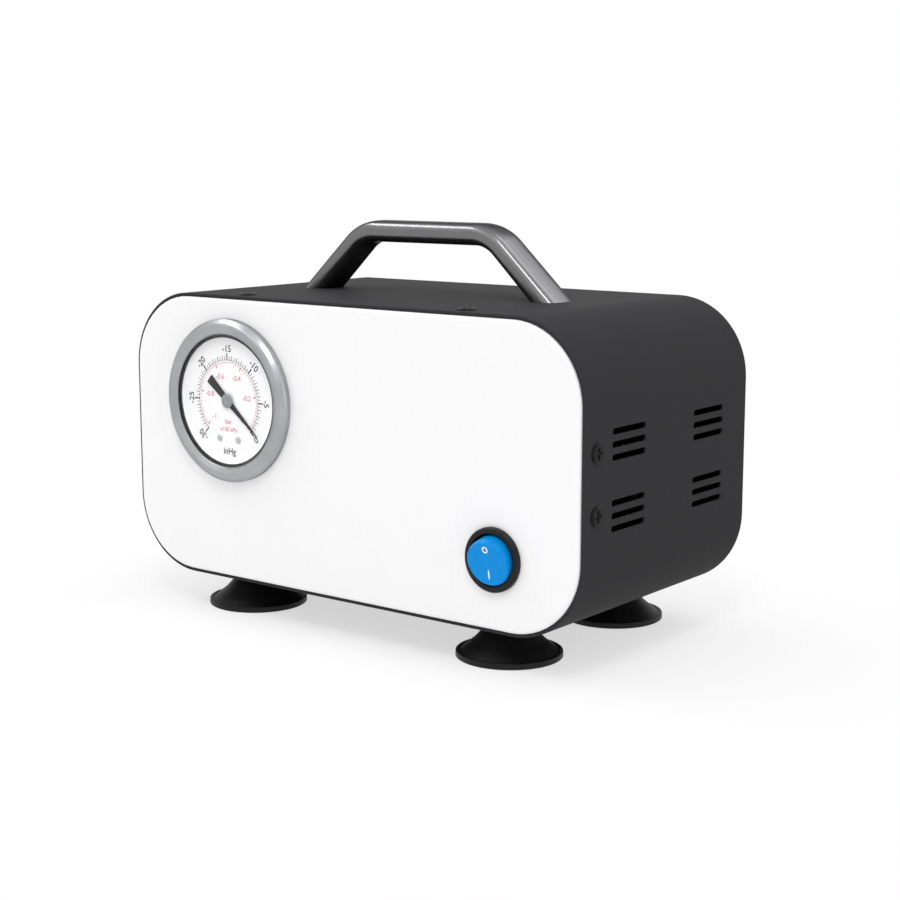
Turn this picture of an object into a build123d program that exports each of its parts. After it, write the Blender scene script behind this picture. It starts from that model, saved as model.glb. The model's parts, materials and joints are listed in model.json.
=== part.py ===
from build123d import *
import math
import os

os.makedirs("parts", exist_ok=True)

# A small bench vacuum pump, in millimetres: +X to the right of someone facing the front, -Y out of
# the front, +Z up. The origin is under the middle of the pump, on the surface that it stands on.
# Depths are counted from the front edge of the case, and are negative in front of it.

# Fits between pieces
SEAT = 0.05
RUN = 0.06
CLEAR = 0.3

# Flats that stand for a round: shanks and their holes, middling rounds, housings and feet
SHANK_SIDES = 6
ROUND_SIDES = 8
HOUSING_SIDES = 20
FOOT_SIDES = 16
BEZEL_SIDES = 32
SHANK_UNDER = 2.5
HOUSING_FROM = 9.0

# Case
CASE_W = 215.0
CASE_H = 111.0
CASE_D = 109.0
CASE_R = 29.5
CASE_WALL = 1.2
VENT_L = 21.3
VENT_W = 2.15
VENT_CHAMFER = 0.6
VENT_PITCH = 4.47
VENT_ROWS = 3
VENT_GROUP_Y = 26.85
VENT_GROUP_Z = 12.3
POST_R = 4.0
POST_L = 9.0
POST_SINK = 0.5

# Front and rear panels
PANEL_GAP = 0.15
PANEL_PROUD = 1.1
PANEL_T = 3.0
PANEL_EDGE = 0.8
SKIRT_D = 13.0
SKIRT_T = 1.8
BOSS_W = 10.0
BOSS_T = 4.5
REAR_T = 2.0
REAR_INSET = 1.0

# Screws
PANEL_SCREW_R = 2.0
PANEL_SCREW_HEAD_R = 3.7
PANEL_SCREW_HEAD_H = 2.2
PANEL_SCREW_L = 7.0
PANEL_SCREW_DEPTH = 7.5
SIDE_SCREW_Z = 10.7
TOP_SCREW_X = 52.9
REAR_SCREW_R = 1.5
REAR_SCREW_HEAD_R = 2.9
SMALL_HEAD_H = 1.5
REAR_SCREW_L = 8.0

# Feet
FOOT_H = 14.0
FOOT_R = 19.5
FOOT_NECK_R = 7.3
FOOT_X = 62.6
FOOT_FROM_END = 20.4
FOOT_RIM = 1.2
FOOT_RIM_H = 2.0
FOOT_FLARE = 1.5
FOOT_FLARE_H = 9.5
FOOT_NECK_H = 11.2
CUP_R = 9.0
CUP_DEPTH = 3.8
STUD_R = 2.0
STUD_IN_FOOT = 7.5
NUT_AF = 7.0
NUT_H = 3.2
SMALL_NUT_AF = 5.5
SMALL_NUT_H = 2.4

# Handle
HANDLE_B = 15.3
HANDLE_T = 8.4
HANDLE_RISE = 27.7
HANDLE_FOOT_X = 62.1
HANDLE_FOOT_IN = 12.6
HANDLE_SHOULDER_X = 32.0
HANDLE_SHOULDER_IN = 2.5
HANDLE_BEND_R = 22.0
HANDLE_EDGE = 2.2
HANDLE_SCREW_IN = 8.2
HANDLE_SCREW_GRIP = 5.0

# Vacuum gauge
GAUGE_X = -54.7
GAUGE_Z_UP = 70.9
GAUGE_R = 29.0
GAUGE_WALL = 0.8
GAUGE_BACK = 26.0
BEZEL_R = 31.5
BEZEL_PROUD = 4.4
BEZEL_LIP_R = 25.7
BEZEL_ROUND = 2.0
BEZEL_SIDE = 1.6
LENS_T = 1.4
LIP_T = 0.5
RING_IN_R = 24.4
DIAL_R = 27.0
DIAL_T = 0.6
DIAL_SPACE = 1.5
POINTER_T = 0.35
POINTER_GAP = 0.35
POINTER_TIP = 19.8
POINTER_TAIL = 12.5
POINTER_ANGLE = -44.0
HUB_R = 3.3
HUB_T = 0.8
ARBOR_R = 0.6
DIAL_SCREW_X = 4.9
DIAL_SCREW_DOWN = 14.8
DIAL_SCREW_R = 1.4
DIAL_SCREW_HEAD_H = 0.5
SECTOR_RATIO = 10
SECTOR_R = 14.0
SECTOR_T = 1.5
SECTOR_BACK = 0.5
SECTOR_HALF = 30.0
SECTOR_HUB_R = 2.2
PINION_L = 3.0
MOVEMENT_FRONT = 1.5
MOVEMENT_SPAN = 6.0
MOVEMENT_PLATE_T = 1.0
MOVEMENT_MARGIN = 4.0
MOVEMENT_EDGE = 0.5
MOVEMENT_POST_X = 9.0
MOVEMENT_POST_R = 1.5
BOURDON_R = 20.5
BOURDON_T = 2.0
BOURDON_W = 6.0
BOURDON_GAP = 0.55
BOURDON_TURN = 250.0
BOURDON_DEPTH = 14.5
SOCKET_W = 15.0
SOCKET_ARM_W = 6.0
SOCKET_ARM_T = 7.0
SOCKET_OUT = 6.0

# Rocker switch
SWITCH_X = 71.3
SWITCH_Z_UP = 26.6
SWITCH_BEZEL_R = 11.5
SWITCH_BEZEL_T = 2.0
SWITCH_BEZEL_EDGE = 0.8
SWITCH_BODY_R = 9.9
SWITCH_BODY_D = 16.0
SWITCH_WELL_R = 9.25
SWITCH_WELL_D = 6.5
TERMINAL_W = 4.8
TERMINAL_T = 0.8
TERMINAL_L = 8.0
TERMINAL_PITCH = 6.0
ROCKER_R = 8.6
ROCKER_SWING_R = 8.95
ROCKER_FACE_H = 4.3
ROCKER_HOLLOW_R = 60.0
ROCKER_TILT = 12.5
ROCKER_PIN_R = 1.2
ROCKER_BACK = 3.5
ROCKER_SPARE = 0.5

# Mains inlet with a fuse drawer
INLET_X = 71.3
INLET_Z_UP = 34.0
INLET_W = 50.0
INLET_H = 37.0
INLET_T = 3.0
INLET_BODY_W = 31.0
INLET_BODY_H = 34.0
INLET_BODY_D = 23.0
INLET_SCREW_X = 20.0
SOCKET_MOUTH_W = 24.4
SOCKET_MOUTH_H = 16.6
SOCKET_DEPTH = 16.8
SOCKET_UP = 6.5
SOCKET_CHAMFER = 5.0
PIN_PITCH = 7.0
PIN_W = 2.0
PIN_H = 4.0
PIN_TAIL = 8.0
PIN_SUNK = 2.5
DRAWER_W = 22.6
DRAWER_H = 8.0
DRAWER_L = 17.0
DRAWER_DOWN = 9.6
DRAWER_TRAVEL = 16.0
FUSE_R = 2.6
FUSE_L = 20.0
FUSE_CAP_L = 5.0

# Hose fittings on the rear panel
BARB_R = 4.4
BARB_ROOT_R = 3.7
BARB_PITCH = 5.0
BARB_COUNT = 3
BARB_LAND = 1.0
BARB_NECK = 3.0
HEX_AF = 14.0
HEX_T = 4.0
THREAD_R = 4.8
THREAD_L = 10.0
VACUUM_PORT_X = -56.0
EXHAUST_PORT_X = 62.0
HOSE_R = 5.0
HOSE_BORE_R = 3.05
STEM_R = 3.0
STEM_L = 9.0
STEM_BORE_R = 1.8
GALLERY_R = 2.3

# Vacuum manifold
MANIFOLD_W = 20.0
MANIFOLD_D = 26.0
MANIFOLD_TOP = 10.0
MANIFOLD_BOTTOM = 17.0
MANIFOLD_END = 4.0
MANIFOLD_EDGE = 3.0
GAUGE_TAP_DOWN = 11.0
GAUGE_TAP_FRONT = 4.0
HOSE_GAP = 1.0
HOSE_LEAD = 8.0

# Pump and motor
AXIS_FROM_BACK = 37.0
ISOLATOR_H = 10.0
ISOLATOR_R = 6.0
BRACKET_T = 2.0
BRACKET_OVERHANG = 8.0
BRACKET_SHORT = 20.0
BRACKET_MARGIN = 1.0
BASE_T = 2.0
BASE_FRONT = 16.0
BASE_FROM_BACK = 7.0
BASE_CLEAR = 2.0
PLATE_CORNER_R = 4.0
CRANK_X = 6.0
CRANK_L = 40.0
CRANK_R = 26.0
CRANK_BORE_R = 22.0
CRANK_WALL = 5.0
CRANK_FOOT_H = 3.0
CRANK_FOOT_W = 44.0
CRANK_BOLT_X = 12.0
CRANK_BOLT_Y = 16.0
CRANK_COVER_LIP = 2.0
NECK_WALL = 2.0
CRANK_BOLT_GRIP = 6.0
CRANK_COVER_T = 2.5
CRANK_FLANGE_W = 56.0
CRANK_FLANGE_T = 8.5
DECK_UP = 34.5
MOTOR_R = 25.0
MOTOR_L = 62.0
MOTOR_WALL = 2.0
MOTOR_CAP_T = 4.0
MOTOR_PILOT_R = 9.0
MOTOR_PILOT_L = 3.0
MOTOR_SCREW_RING = 14.5
MAGNET_GAP = 12.0
ROTOR_SLOTS = 10
ROTOR_SLOT_W = 1.8
ROTOR_SLOT_D = 4.0
SHAFT_R = 3.0
ROTOR_R = 17.0
ROTOR_L = 36.0
MAGNET_T = 4.5
BEARING_R = 6.5
BEARING_T = 5.0
FAN_R = 24.0
FAN_T = 9.0
FAN_BLADES = 6
FAN_HUB_R = 9.0
FAN_GAP = 2.0
BLADE_T = 1.5
BLADE_ROOT_TURN = 40
BLADE_TIP_TURN = 32
THROW = 2.5
CRANK_PIN_R = 4.0
COUNTERWEIGHT_R = 18.0
ECCENTRIC_T = 5.0
ECCENTRIC_GAP = 3.0
ECCENTRIC_HUB_R = 9.0
ECCENTRIC_CUT = 6.0
CRANK_SHOULDER_R = 5.2
ROD_BEARING_R = 8.0
ROD_BEARING_T = 5.0
ROD_EYE_R = 11.0
ROD_T = 6.0
ROD_W = 9.0
ROD_PLATE_R = 11.0
ROD_PLATE_T = 3.0
DIAPHRAGM_R = 26.0
DIAPHRAGM_WORK_R = 18.0
DIAPHRAGM_T = 1.5
DISH_R = 14.5
DISH_EDGE = 0.5
CLAMP_T = 2.5
CLAMP_STUD_L = 10.0
CLAMP_STUD_GAP = 0.5
CHAMBER_CLEAR = 0.8
VALVE_WEB = 4.0
VALVE_R = 5.0
VALVE_T = 0.8
VALVE_X = 9.0
VALVE_STEM_R = 1.2
VALVE_LIFT = 0.4
FLOW_HOLE_R = 0.9
FLOW_RING_R = 3.2
HEAD_R = 8.0
GASKET_T = 0.8
HEAD_COVER_T = 12.0
HEAD_WALL = 4.0
POCKET_W = 14.0
POCKET_OUT = 0.5
POCKET_LAND = 3.5
HEAD_BOLT_HEAD_H = 4.0
HEAD_BOLT = 22.0
HEAD_PORT_BACK = 18.0

# Power board
BOARD_X = -4.0
BOARD_L = 96.0
BOARD_W = 28.0
BOARD_T = 1.6
BOARD_DEPTH = 29.0
STANDOFF_H = 7.0
STANDOFF_R = 3.0
BOARD_EDGE = 1.0
CORE_W = 24.0
CORE_D = 20.0
CORE_H = 18.0
CAPACITOR_R = 7.5
CAPACITOR_H = 20.0
CAPACITOR_X = 26.0
SMALL_CAPACITOR_R = 5.0
SMALL_CAPACITOR_H = 16.0
SMALL_CAPACITOR_X = 20.0
SMALL_CAPACITOR_Y = 6.0
SINK_X = 31.0
SINK_T = 3.0
SINK_FINS = 4
SINK_PITCH = 5.6
FIN_L = 5.0
FIN_T = 1.2
FIN_X = 3.5

# Places worked out from the sizes
BARB_L = HEX_T + BARB_NECK + BARB_PITCH * BARB_COUNT
FRONT_REACH = PANEL_PROUD + BEZEL_PROUD
REAR_REACH = BARB_L - REAR_INSET
FRONT_Y = (FRONT_REACH - CASE_D - REAR_REACH) / 2
MID_Y = FRONT_Y + CASE_D / 2
CASE_Z = FOOT_H + CASE_H / 2
FLOOR_Z = FOOT_H + CASE_WALL
BASE_TOP = FLOOR_Z + BASE_T
ROOF_Z = FOOT_H + CASE_H - CASE_WALL
GAUGE_Z = FOOT_H + GAUGE_Z_UP
SWITCH_Z = FOOT_H + SWITCH_Z_UP
INLET_Z = FOOT_H + INLET_Z_UP
FOOT_Y = CASE_D / 2 - FOOT_FROM_END
AXIS_DEPTH = CASE_D - AXIS_FROM_BACK
AXIS_Y = FRONT_Y + AXIS_DEPTH
BASE_W = CASE_W - 2 * CASE_R - 2 * BASE_CLEAR
BASE_BACK = CASE_D - BASE_FROM_BACK
REAR_FACE = CASE_D - REAR_INSET
REAR_BACK = REAR_FACE - REAR_T
PANEL_INSET = CASE_WALL + PANEL_GAP
BRACKET_Z = BASE_TOP + ISOLATOR_H
CRANK_FOOT_Z = BRACKET_Z + BRACKET_T
AXIS_Z = CRANK_FOOT_Z + CRANK_FOOT_H + CRANK_R
DECK_Z = AXIS_Z + DECK_UP
PIN_Z = AXIS_Z - THROW
DIAPHRAGM_Z = DECK_Z - DIAPHRAGM_T
CHAMBER_H = CLAMP_T + 2 * THROW + CHAMBER_CLEAR - THROW
HEAD_Z = DECK_Z + CHAMBER_H + VALVE_WEB
COVER_Z = HEAD_Z + GASKET_T
PORT_Z = COVER_Z + HEAD_COVER_T / 2
MOTOR_X = CRANK_X - CRANK_L / 2
MOTOR_END_X = MOTOR_X - MOTOR_L
ROD_X = CRANK_X
PORT_Y = AXIS_Y + HEAD_PORT_BACK
HEAD_LEFT = CRANK_X - CRANK_FLANGE_W / 2
HEAD_RIGHT = CRANK_X + CRANK_FLANGE_W / 2


def facing_front(depth):
    """Upright plane at a depth: local x is X, local y is Z, and its normal is -Y."""
    return Plane.XZ.offset(-(FRONT_Y + depth))


def depth_section(x, z):
    """Level plane through an axis that runs front to back: local x is radius, local y is depth."""
    return Plane(origin=(x, FRONT_Y, z), x_dir=(1, 0, 0), z_dir=(0, 0, 1))


def depth_axis(x, z):
    """Axis through x and z that runs front to back."""
    return Axis((x, FRONT_Y, z), (0, 1, 0))


def outline(plane, *points):
    """Face on a plane, inside straight lines through the points."""
    with BuildSketch(plane) as flat:
        with BuildLine():
            Polyline(*points, close=True)
        make_face()
    return flat.sketch


def sides(radius):
    """Number of flats that stand for a round of this radius."""
    if radius < SHANK_UNDER:
        return SHANK_SIDES
    if radius < HOUSING_FROM:
        return ROUND_SIDES
    return HOUSING_SIDES


def disc(plane, radius, *centres):
    """Solid rounds on a plane, one at each centre: their corners lie on the radius."""
    with BuildSketch(plane) as flat:
        with Locations(*centres):
            RegularPolygon(radius, sides(radius))
    return flat.sketch


def hole(plane, radius, *centres):
    """Open rounds on a plane, one at each centre: their flats lie on the radius."""
    with BuildSketch(plane) as flat:
        with Locations(*centres):
            RegularPolygon(radius, sides(radius), major_radius=False)
    return flat.sketch


def stack(mode, count, base, *rows):
    """Many-sided rings about a plane's axis, each from one radius and height up to the next."""
    for (low_r, low), (high_r, high) in zip(rows, rows[1:]):
        with BuildSketch(base.offset(low)) as ring:
            RegularPolygon(low_r, count)
        flat_step = (low_r - high_r) * math.cos(math.pi / count)
        slant = math.degrees(math.atan2(flat_step, high - low))
        extrude(ring.sketch, amount=high - low, taper=slant, mode=mode)


def slab(plane, width, height, radius, centre=(0, 0)):
    """Rectangle with rounded corners on a plane."""
    with BuildSketch(plane) as flat:
        with Locations(centre):
            RectangleRounded(width, height, radius)
    return flat.sketch


# Shell: a folded sleeve, with vents in both sides and four posts inside for the rear panel
post_offset = CASE_R - CASE_WALL - POST_R + POST_SINK
post_reach = post_offset / math.sqrt(2)
post_places = [
    (
        sx * (CASE_W / 2 - CASE_R + post_reach),
        CASE_Z + sz * (CASE_H / 2 - CASE_R + post_reach),
    )
    for sx in (-1, 1)
    for sz in (-1, 1)
]
vent_places = [
    (MID_Y + sy * VENT_GROUP_Y, CASE_Z + sz * VENT_GROUP_Z + row * VENT_PITCH)
    for sy in (-1, 1)
    for sz in (-1, 1)
    for row in range(-(VENT_ROWS // 2), VENT_ROWS // 2 + 1)
]
side_screw_places = [
    (FRONT_Y + PANEL_SCREW_DEPTH, CASE_Z + sz * SIDE_SCREW_Z) for sz in (-1, 1)
]
top_screw_places = [
    (sx * TOP_SCREW_X, FRONT_Y + PANEL_SCREW_DEPTH) for sx in (-1, 1)
]
foot_places = [
    (sx * FOOT_X, MID_Y + sy * FOOT_Y) for sx in (-1, 1) for sy in (-1, 1)
]
handle_screw_places = [
    (sx * (HANDLE_FOOT_X - HANDLE_SCREW_IN), MID_Y) for sx in (-1, 1)
]

with BuildPart() as shell:
    with BuildSketch(facing_front(0)):
        with Locations((0, CASE_Z)):
            RectangleRounded(CASE_W, CASE_H, CASE_R)
            RectangleRounded(
                CASE_W - 2 * CASE_WALL,
                CASE_H - 2 * CASE_WALL,
                CASE_R - CASE_WALL,
                mode=Mode.SUBTRACT,
            )
    extrude(amount=-CASE_D)
    extrude(disc(facing_front(REAR_BACK - POST_L), POST_R, *post_places), amount=-POST_L)
    extrude(
        hole(facing_front(REAR_BACK - POST_L), REAR_SCREW_R + SEAT, *post_places),
        amount=-POST_L,
        mode=Mode.SUBTRACT,
    )
    with BuildSketch(Plane.YZ.offset(CASE_W / 2)) as vents:
        with Locations(*vent_places):
            Rectangle(VENT_L, VENT_W)
        chamfer(vents.vertices(), VENT_CHAMFER)
    extrude(amount=-CASE_W, mode=Mode.SUBTRACT)
    extrude(
        hole(Plane.YZ.offset(CASE_W / 2), PANEL_SCREW_R + SEAT, *side_screw_places),
        amount=-CASE_W,
        mode=Mode.SUBTRACT,
    )
    extrude(
        hole(Plane.XY.offset(FOOT_H), PANEL_SCREW_R + SEAT, *top_screw_places),
        amount=CASE_H,
        mode=Mode.SUBTRACT,
    )
    extrude(
        hole(Plane.XY.offset(FOOT_H), STUD_R + SEAT, *foot_places),
        amount=CASE_WALL,
        mode=Mode.SUBTRACT,
    )
    extrude(
        hole(Plane.XY.offset(ROOF_Z), PANEL_SCREW_R + SEAT, *handle_screw_places),
        amount=CASE_WALL,
        mode=Mode.SUBTRACT,
    )
shell.part.label = "shell"

# Front panel: a moulded cap, with a skirt inside the shell and a boss behind each screw
panel_w = CASE_W - 2 * PANEL_INSET
panel_h = CASE_H - 2 * PANEL_INSET
panel_r = CASE_R - PANEL_INSET
with BuildPart() as front_panel:
    extrude(
        slab(facing_front(-PANEL_PROUD), panel_w, panel_h, panel_r, (0, CASE_Z)),
        amount=-PANEL_T,
    )
    chamfer(front_panel.faces().sort_by(Axis.Y)[0].outer_wire().edges(), PANEL_EDGE)
    with BuildSketch(facing_front(PANEL_T - PANEL_PROUD)):
        with Locations((0, CASE_Z)):
            RectangleRounded(panel_w, panel_h, panel_r)
            RectangleRounded(
                panel_w - 2 * SKIRT_T,
                panel_h - 2 * SKIRT_T,
                panel_r - SKIRT_T,
                mode=Mode.SUBTRACT,
            )
    extrude(amount=-(SKIRT_D - PANEL_T + PANEL_PROUD))
    boss_x = panel_w / 2 - SKIRT_T - BOSS_T / 2
    boss_z = panel_h / 2 - SKIRT_T - BOSS_T / 2
    boss_back = PANEL_SCREW_DEPTH + BOSS_W / 2
    with BuildSketch(facing_front(PANEL_T - PANEL_PROUD)):
        with Locations(*[(sx * boss_x, z) for sx in (-1, 1) for _, z in side_screw_places]):
            Rectangle(BOSS_T, BOSS_W)
        with Locations(
            *[(x, CASE_Z + sz * boss_z) for sz in (-1, 1) for x, _ in top_screw_places]
        ):
            Rectangle(BOSS_W, BOSS_T)
    extrude(amount=-(boss_back - PANEL_T + PANEL_PROUD))
    for opening_r, opening_at in (
        (GAUGE_R + CLEAR, (GAUGE_X, GAUGE_Z)),
        (SWITCH_BODY_R + SEAT, (SWITCH_X, SWITCH_Z)),
    ):
        extrude(
            hole(facing_front(-PANEL_PROUD), opening_r, opening_at),
            amount=-PANEL_T,
            mode=Mode.SUBTRACT,
        )
    for face_x in (-panel_w / 2, panel_w / 2 - SKIRT_T - BOSS_T):
        extrude(
            hole(Plane.YZ.offset(face_x), PANEL_SCREW_R + SEAT, *side_screw_places),
            amount=SKIRT_T + BOSS_T,
            mode=Mode.SUBTRACT,
        )
    for face_z in (CASE_Z - panel_h / 2, CASE_Z + panel_h / 2 - SKIRT_T - BOSS_T):
        extrude(
            hole(Plane.XY.offset(face_z), PANEL_SCREW_R + SEAT, *top_screw_places),
            amount=SKIRT_T + BOSS_T,
            mode=Mode.SUBTRACT,
        )
front_panel.part.label = "front_panel"

# Rear panel: a plate let into the shell, with openings for the mains inlet and the two ports
port_places = [(VACUUM_PORT_X, PORT_Z), (EXHAUST_PORT_X, PORT_Z)]
inlet_screw_places = [(INLET_X + sx * INLET_SCREW_X, INLET_Z) for sx in (-1, 1)]
with BuildPart() as rear_panel:
    with BuildSketch(facing_front(REAR_BACK)):
        with Locations((0, CASE_Z)):
            RectangleRounded(panel_w, panel_h, panel_r)
        with Locations((INLET_X, INLET_Z)):
            Rectangle(INLET_BODY_W + 2 * CLEAR, INLET_BODY_H + 2 * CLEAR, mode=Mode.SUBTRACT)
    extrude(amount=-REAR_T)
    extrude(
        hole(facing_front(REAR_BACK), THREAD_R + SEAT, *port_places),
        amount=-REAR_T,
        mode=Mode.SUBTRACT,
    )
    extrude(
        hole(facing_front(REAR_BACK), REAR_SCREW_R + SEAT, *post_places, *inlet_screw_places),
        amount=-REAR_T,
        mode=Mode.SUBTRACT,
    )
rear_panel.part.label = "rear_panel"

# Panel screws: pan heads on both sides, the top and the bottom
with BuildPart() as panel_screw:
    stack(
        Mode.ADD,
        ROUND_SIDES,
        Plane.XY,
        (PANEL_SCREW_HEAD_R, 0),
        (PANEL_SCREW_HEAD_R, PANEL_SCREW_HEAD_H * 0.45),
        (PANEL_SCREW_HEAD_R * 0.6, PANEL_SCREW_HEAD_H),
    )
    extrude(disc(Plane.XY, PANEL_SCREW_R, (0, 0)), amount=-PANEL_SCREW_L)
panel_screw_planes = [
    Plane(origin=(sx * CASE_W / 2, y, z), z_dir=(sx, 0, 0))
    for sx in (-1, 1)
    for y, z in side_screw_places
] + [
    Plane(origin=(x, y, CASE_Z + sz * CASE_H / 2), z_dir=(0, 0, sz))
    for sz in (-1, 1)
    for x, y in top_screw_places
]
with BuildPart() as panel_screws:
    with Locations(*panel_screw_planes):
        add(panel_screw.part)
panel_screws.part.label = "panel_screws"

# Base plate: carries the feet, the pump's mounts and the power board
bracket_left = MOTOR_END_X + BRACKET_SHORT
bracket_right = HEAD_RIGHT + BRACKET_OVERHANG
bracket_x = (bracket_left + bracket_right) / 2
bracket_w = bracket_right - bracket_left
bracket_d = CRANK_FLANGE_W + 4
isolator_places = [
    (
        bracket_x + sx * (bracket_w / 2 - ISOLATOR_R - BRACKET_MARGIN),
        AXIS_Y + sy * (bracket_d / 2 - ISOLATOR_R - BRACKET_MARGIN),
    )
    for sx in (-1, 1)
    for sy in (-1, 1)
]
board_y = FRONT_Y + BOARD_DEPTH
board_screw_places = [
    (
        BOARD_X + sx * (BOARD_L / 2 - STANDOFF_R - BOARD_EDGE),
        board_y + sy * (BOARD_W / 2 - STANDOFF_R - BOARD_EDGE),
    )
    for sx in (-1, 1)
    for sy in (-1, 1)
]
with BuildPart() as base_plate:
    with BuildSketch(Plane.XY.offset(FLOOR_Z)):
        with Locations((0, FRONT_Y + (BASE_FRONT + BASE_BACK) / 2)):
            RectangleRounded(BASE_W, BASE_BACK - BASE_FRONT, PLATE_CORNER_R)
    extrude(amount=BASE_T)
    extrude(
        hole(Plane.XY.offset(FLOOR_Z), STUD_R + SEAT, *foot_places, *isolator_places),
        amount=BASE_T,
        mode=Mode.SUBTRACT,
    )
    extrude(
        hole(Plane.XY.offset(FLOOR_Z), REAR_SCREW_R + SEAT, *board_screw_places),
        amount=BASE_T,
        mode=Mode.SUBTRACT,
    )
base_plate.part.label = "base_plate"

# Suction feet: rubber cups, each on a stud that is moulded in and holds the shell and base plate
with BuildPart() as suction_foot:
    stack(
        Mode.ADD,
        FOOT_SIDES,
        Plane.XY,
        (FOOT_R, 0),
        (FOOT_R, FOOT_RIM_H),
        (FOOT_NECK_R + FOOT_FLARE, FOOT_FLARE_H),
        (FOOT_NECK_R, FOOT_NECK_H),
        (FOOT_NECK_R, FOOT_H),
    )
    stack(Mode.SUBTRACT, FOOT_SIDES, Plane.XY, (FOOT_R - FOOT_RIM, 0), (CUP_R, CUP_DEPTH))
    extrude(
        hole(Plane.XY.offset(FOOT_H - STUD_IN_FOOT), STUD_R + SEAT, (0, 0)),
        amount=STUD_IN_FOOT,
        mode=Mode.SUBTRACT,
    )
with BuildPart() as suction_feet:
    with Locations(*foot_places):
        add(suction_foot.part)
suction_feet.part.label = "suction_feet"

foot_stud_l = STUD_IN_FOOT - SEAT + CASE_WALL + BASE_T + NUT_H + 1
with BuildPart() as studs:
    extrude(
        disc(Plane.XY.offset(FOOT_H - STUD_IN_FOOT + SEAT), STUD_R, *foot_places),
        amount=foot_stud_l,
    )
    extrude(
        disc(Plane.XY.offset(FLOOR_Z + SEAT), STUD_R, *isolator_places),
        amount=BASE_T + ISOLATOR_H + BRACKET_T + NUT_H - SEAT,
    )
studs.part.label = "studs"

with BuildPart() as nuts:
    for nut_z, nut_places in ((BASE_TOP, foot_places), (CRANK_FOOT_Z, isolator_places)):
        with BuildSketch(Plane.XY.offset(nut_z)):
            with Locations(*nut_places):
                RegularPolygon(NUT_AF / 2, 6, major_radius=False)
                RegularPolygon(STUD_R + SEAT, 6, major_radius=False, mode=Mode.SUBTRACT)
        extrude(amount=NUT_H)
    with BuildSketch(facing_front(REAR_BACK)):
        with Locations(*inlet_screw_places):
            RegularPolygon(SMALL_NUT_AF / 2, 6, major_radius=False)
            RegularPolygon(REAR_SCREW_R + SEAT, 6, major_radius=False, mode=Mode.SUBTRACT)
    extrude(amount=SMALL_NUT_H)
nuts.part.label = "nuts"

# Carrying handle: a cast bow with straight slanting legs
roof_top = FOOT_H + CASE_H
handle_bar_z = roof_top + HANDLE_RISE
handle_in_x = HANDLE_SHOULDER_X - HANDLE_SHOULDER_IN
with BuildPart() as handle:
    with BuildSketch(Plane.XZ.offset(-MID_Y)) as handle_side:
        with BuildLine():
            FilletPolyline(
                (-HANDLE_FOOT_X, roof_top),
                (-HANDLE_SHOULDER_X, handle_bar_z),
                (HANDLE_SHOULDER_X, handle_bar_z),
                (HANDLE_FOOT_X, roof_top),
                radius=HANDLE_BEND_R,
            )
            Line((HANDLE_FOOT_X, roof_top), (HANDLE_FOOT_X - HANDLE_FOOT_IN, roof_top))
            FilletPolyline(
                (HANDLE_FOOT_X - HANDLE_FOOT_IN, roof_top),
                (handle_in_x, handle_bar_z - HANDLE_T),
                (-handle_in_x, handle_bar_z - HANDLE_T),
                (HANDLE_FOOT_IN - HANDLE_FOOT_X, roof_top),
                radius=HANDLE_BEND_R - HANDLE_T,
            )
            Line((HANDLE_FOOT_IN - HANDLE_FOOT_X, roof_top), (-HANDLE_FOOT_X, roof_top))
        make_face()
    extrude(amount=HANDLE_B / 2, both=True)
    long_edges = (
        handle.edges()
        .filter_by(Axis.Y, reverse=True)
        .filter_by(lambda edge: edge.bounding_box().max.Z > roof_top + 0.01)
    )
    chamfer(long_edges, HANDLE_EDGE)
    extrude(
        hole(Plane.XY.offset(roof_top), PANEL_SCREW_R + SEAT, *handle_screw_places),
        amount=HANDLE_SCREW_GRIP,
        mode=Mode.SUBTRACT,
    )
handle.part.label = "handle"

# Vacuum gauge, drawn as sections of radius and depth about its own axis
gauge_plane = depth_section(GAUGE_X, GAUGE_Z)
gauge_axis = depth_axis(GAUGE_X, GAUGE_Z)
bezel_front = -PANEL_PROUD - BEZEL_PROUD
lens_front = bezel_front + LIP_T + 0.4
lens_back = lens_front + LENS_T
dial_front = lens_back + DIAL_SPACE
dial_back = dial_front + DIAL_T

with BuildPart() as gauge_case:
    extrude(
        disc(facing_front(lens_back), GAUGE_R, (GAUGE_X, GAUGE_Z)),
        amount=lens_back - GAUGE_BACK,
    )
    extrude(
        disc(facing_front(lens_back), GAUGE_R - GAUGE_WALL, (GAUGE_X, GAUGE_Z)),
        amount=lens_back - GAUGE_BACK + GAUGE_WALL,
        mode=Mode.SUBTRACT,
    )
    extrude(
        hole(facing_front(GAUGE_BACK - GAUGE_WALL), SOCKET_W / 2 + SEAT, (GAUGE_X, GAUGE_Z)),
        amount=-GAUGE_WALL,
        mode=Mode.SUBTRACT,
    )
gauge_case.part.label = "gauge_case"

bezel_base = Plane(origin=(GAUGE_X, FRONT_Y, GAUGE_Z), x_dir=(1, 0, 0), z_dir=(0, -1, 0))
bezel_bore_r = (GAUGE_R + SEAT) / math.cos(math.pi / BEZEL_SIDES)
with BuildPart() as gauge_bezel:
    stack(
        Mode.ADD,
        BEZEL_SIDES,
        bezel_base,
        (BEZEL_R, PANEL_PROUD),
        (BEZEL_R, -bezel_front - BEZEL_SIDE),
        (BEZEL_R - BEZEL_ROUND, -bezel_front),
    )
    stack(
        Mode.SUBTRACT,
        BEZEL_SIDES,
        bezel_base,
        (bezel_bore_r, PANEL_PROUD),
        (bezel_bore_r, SEAT - lens_front),
    )
    stack(
        Mode.SUBTRACT,
        BEZEL_SIDES,
        bezel_base,
        (BEZEL_LIP_R, SEAT - lens_front),
        (BEZEL_LIP_R + BEZEL_ROUND, -bezel_front),
    )
gauge_bezel.part.label = "gauge_bezel"

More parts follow.
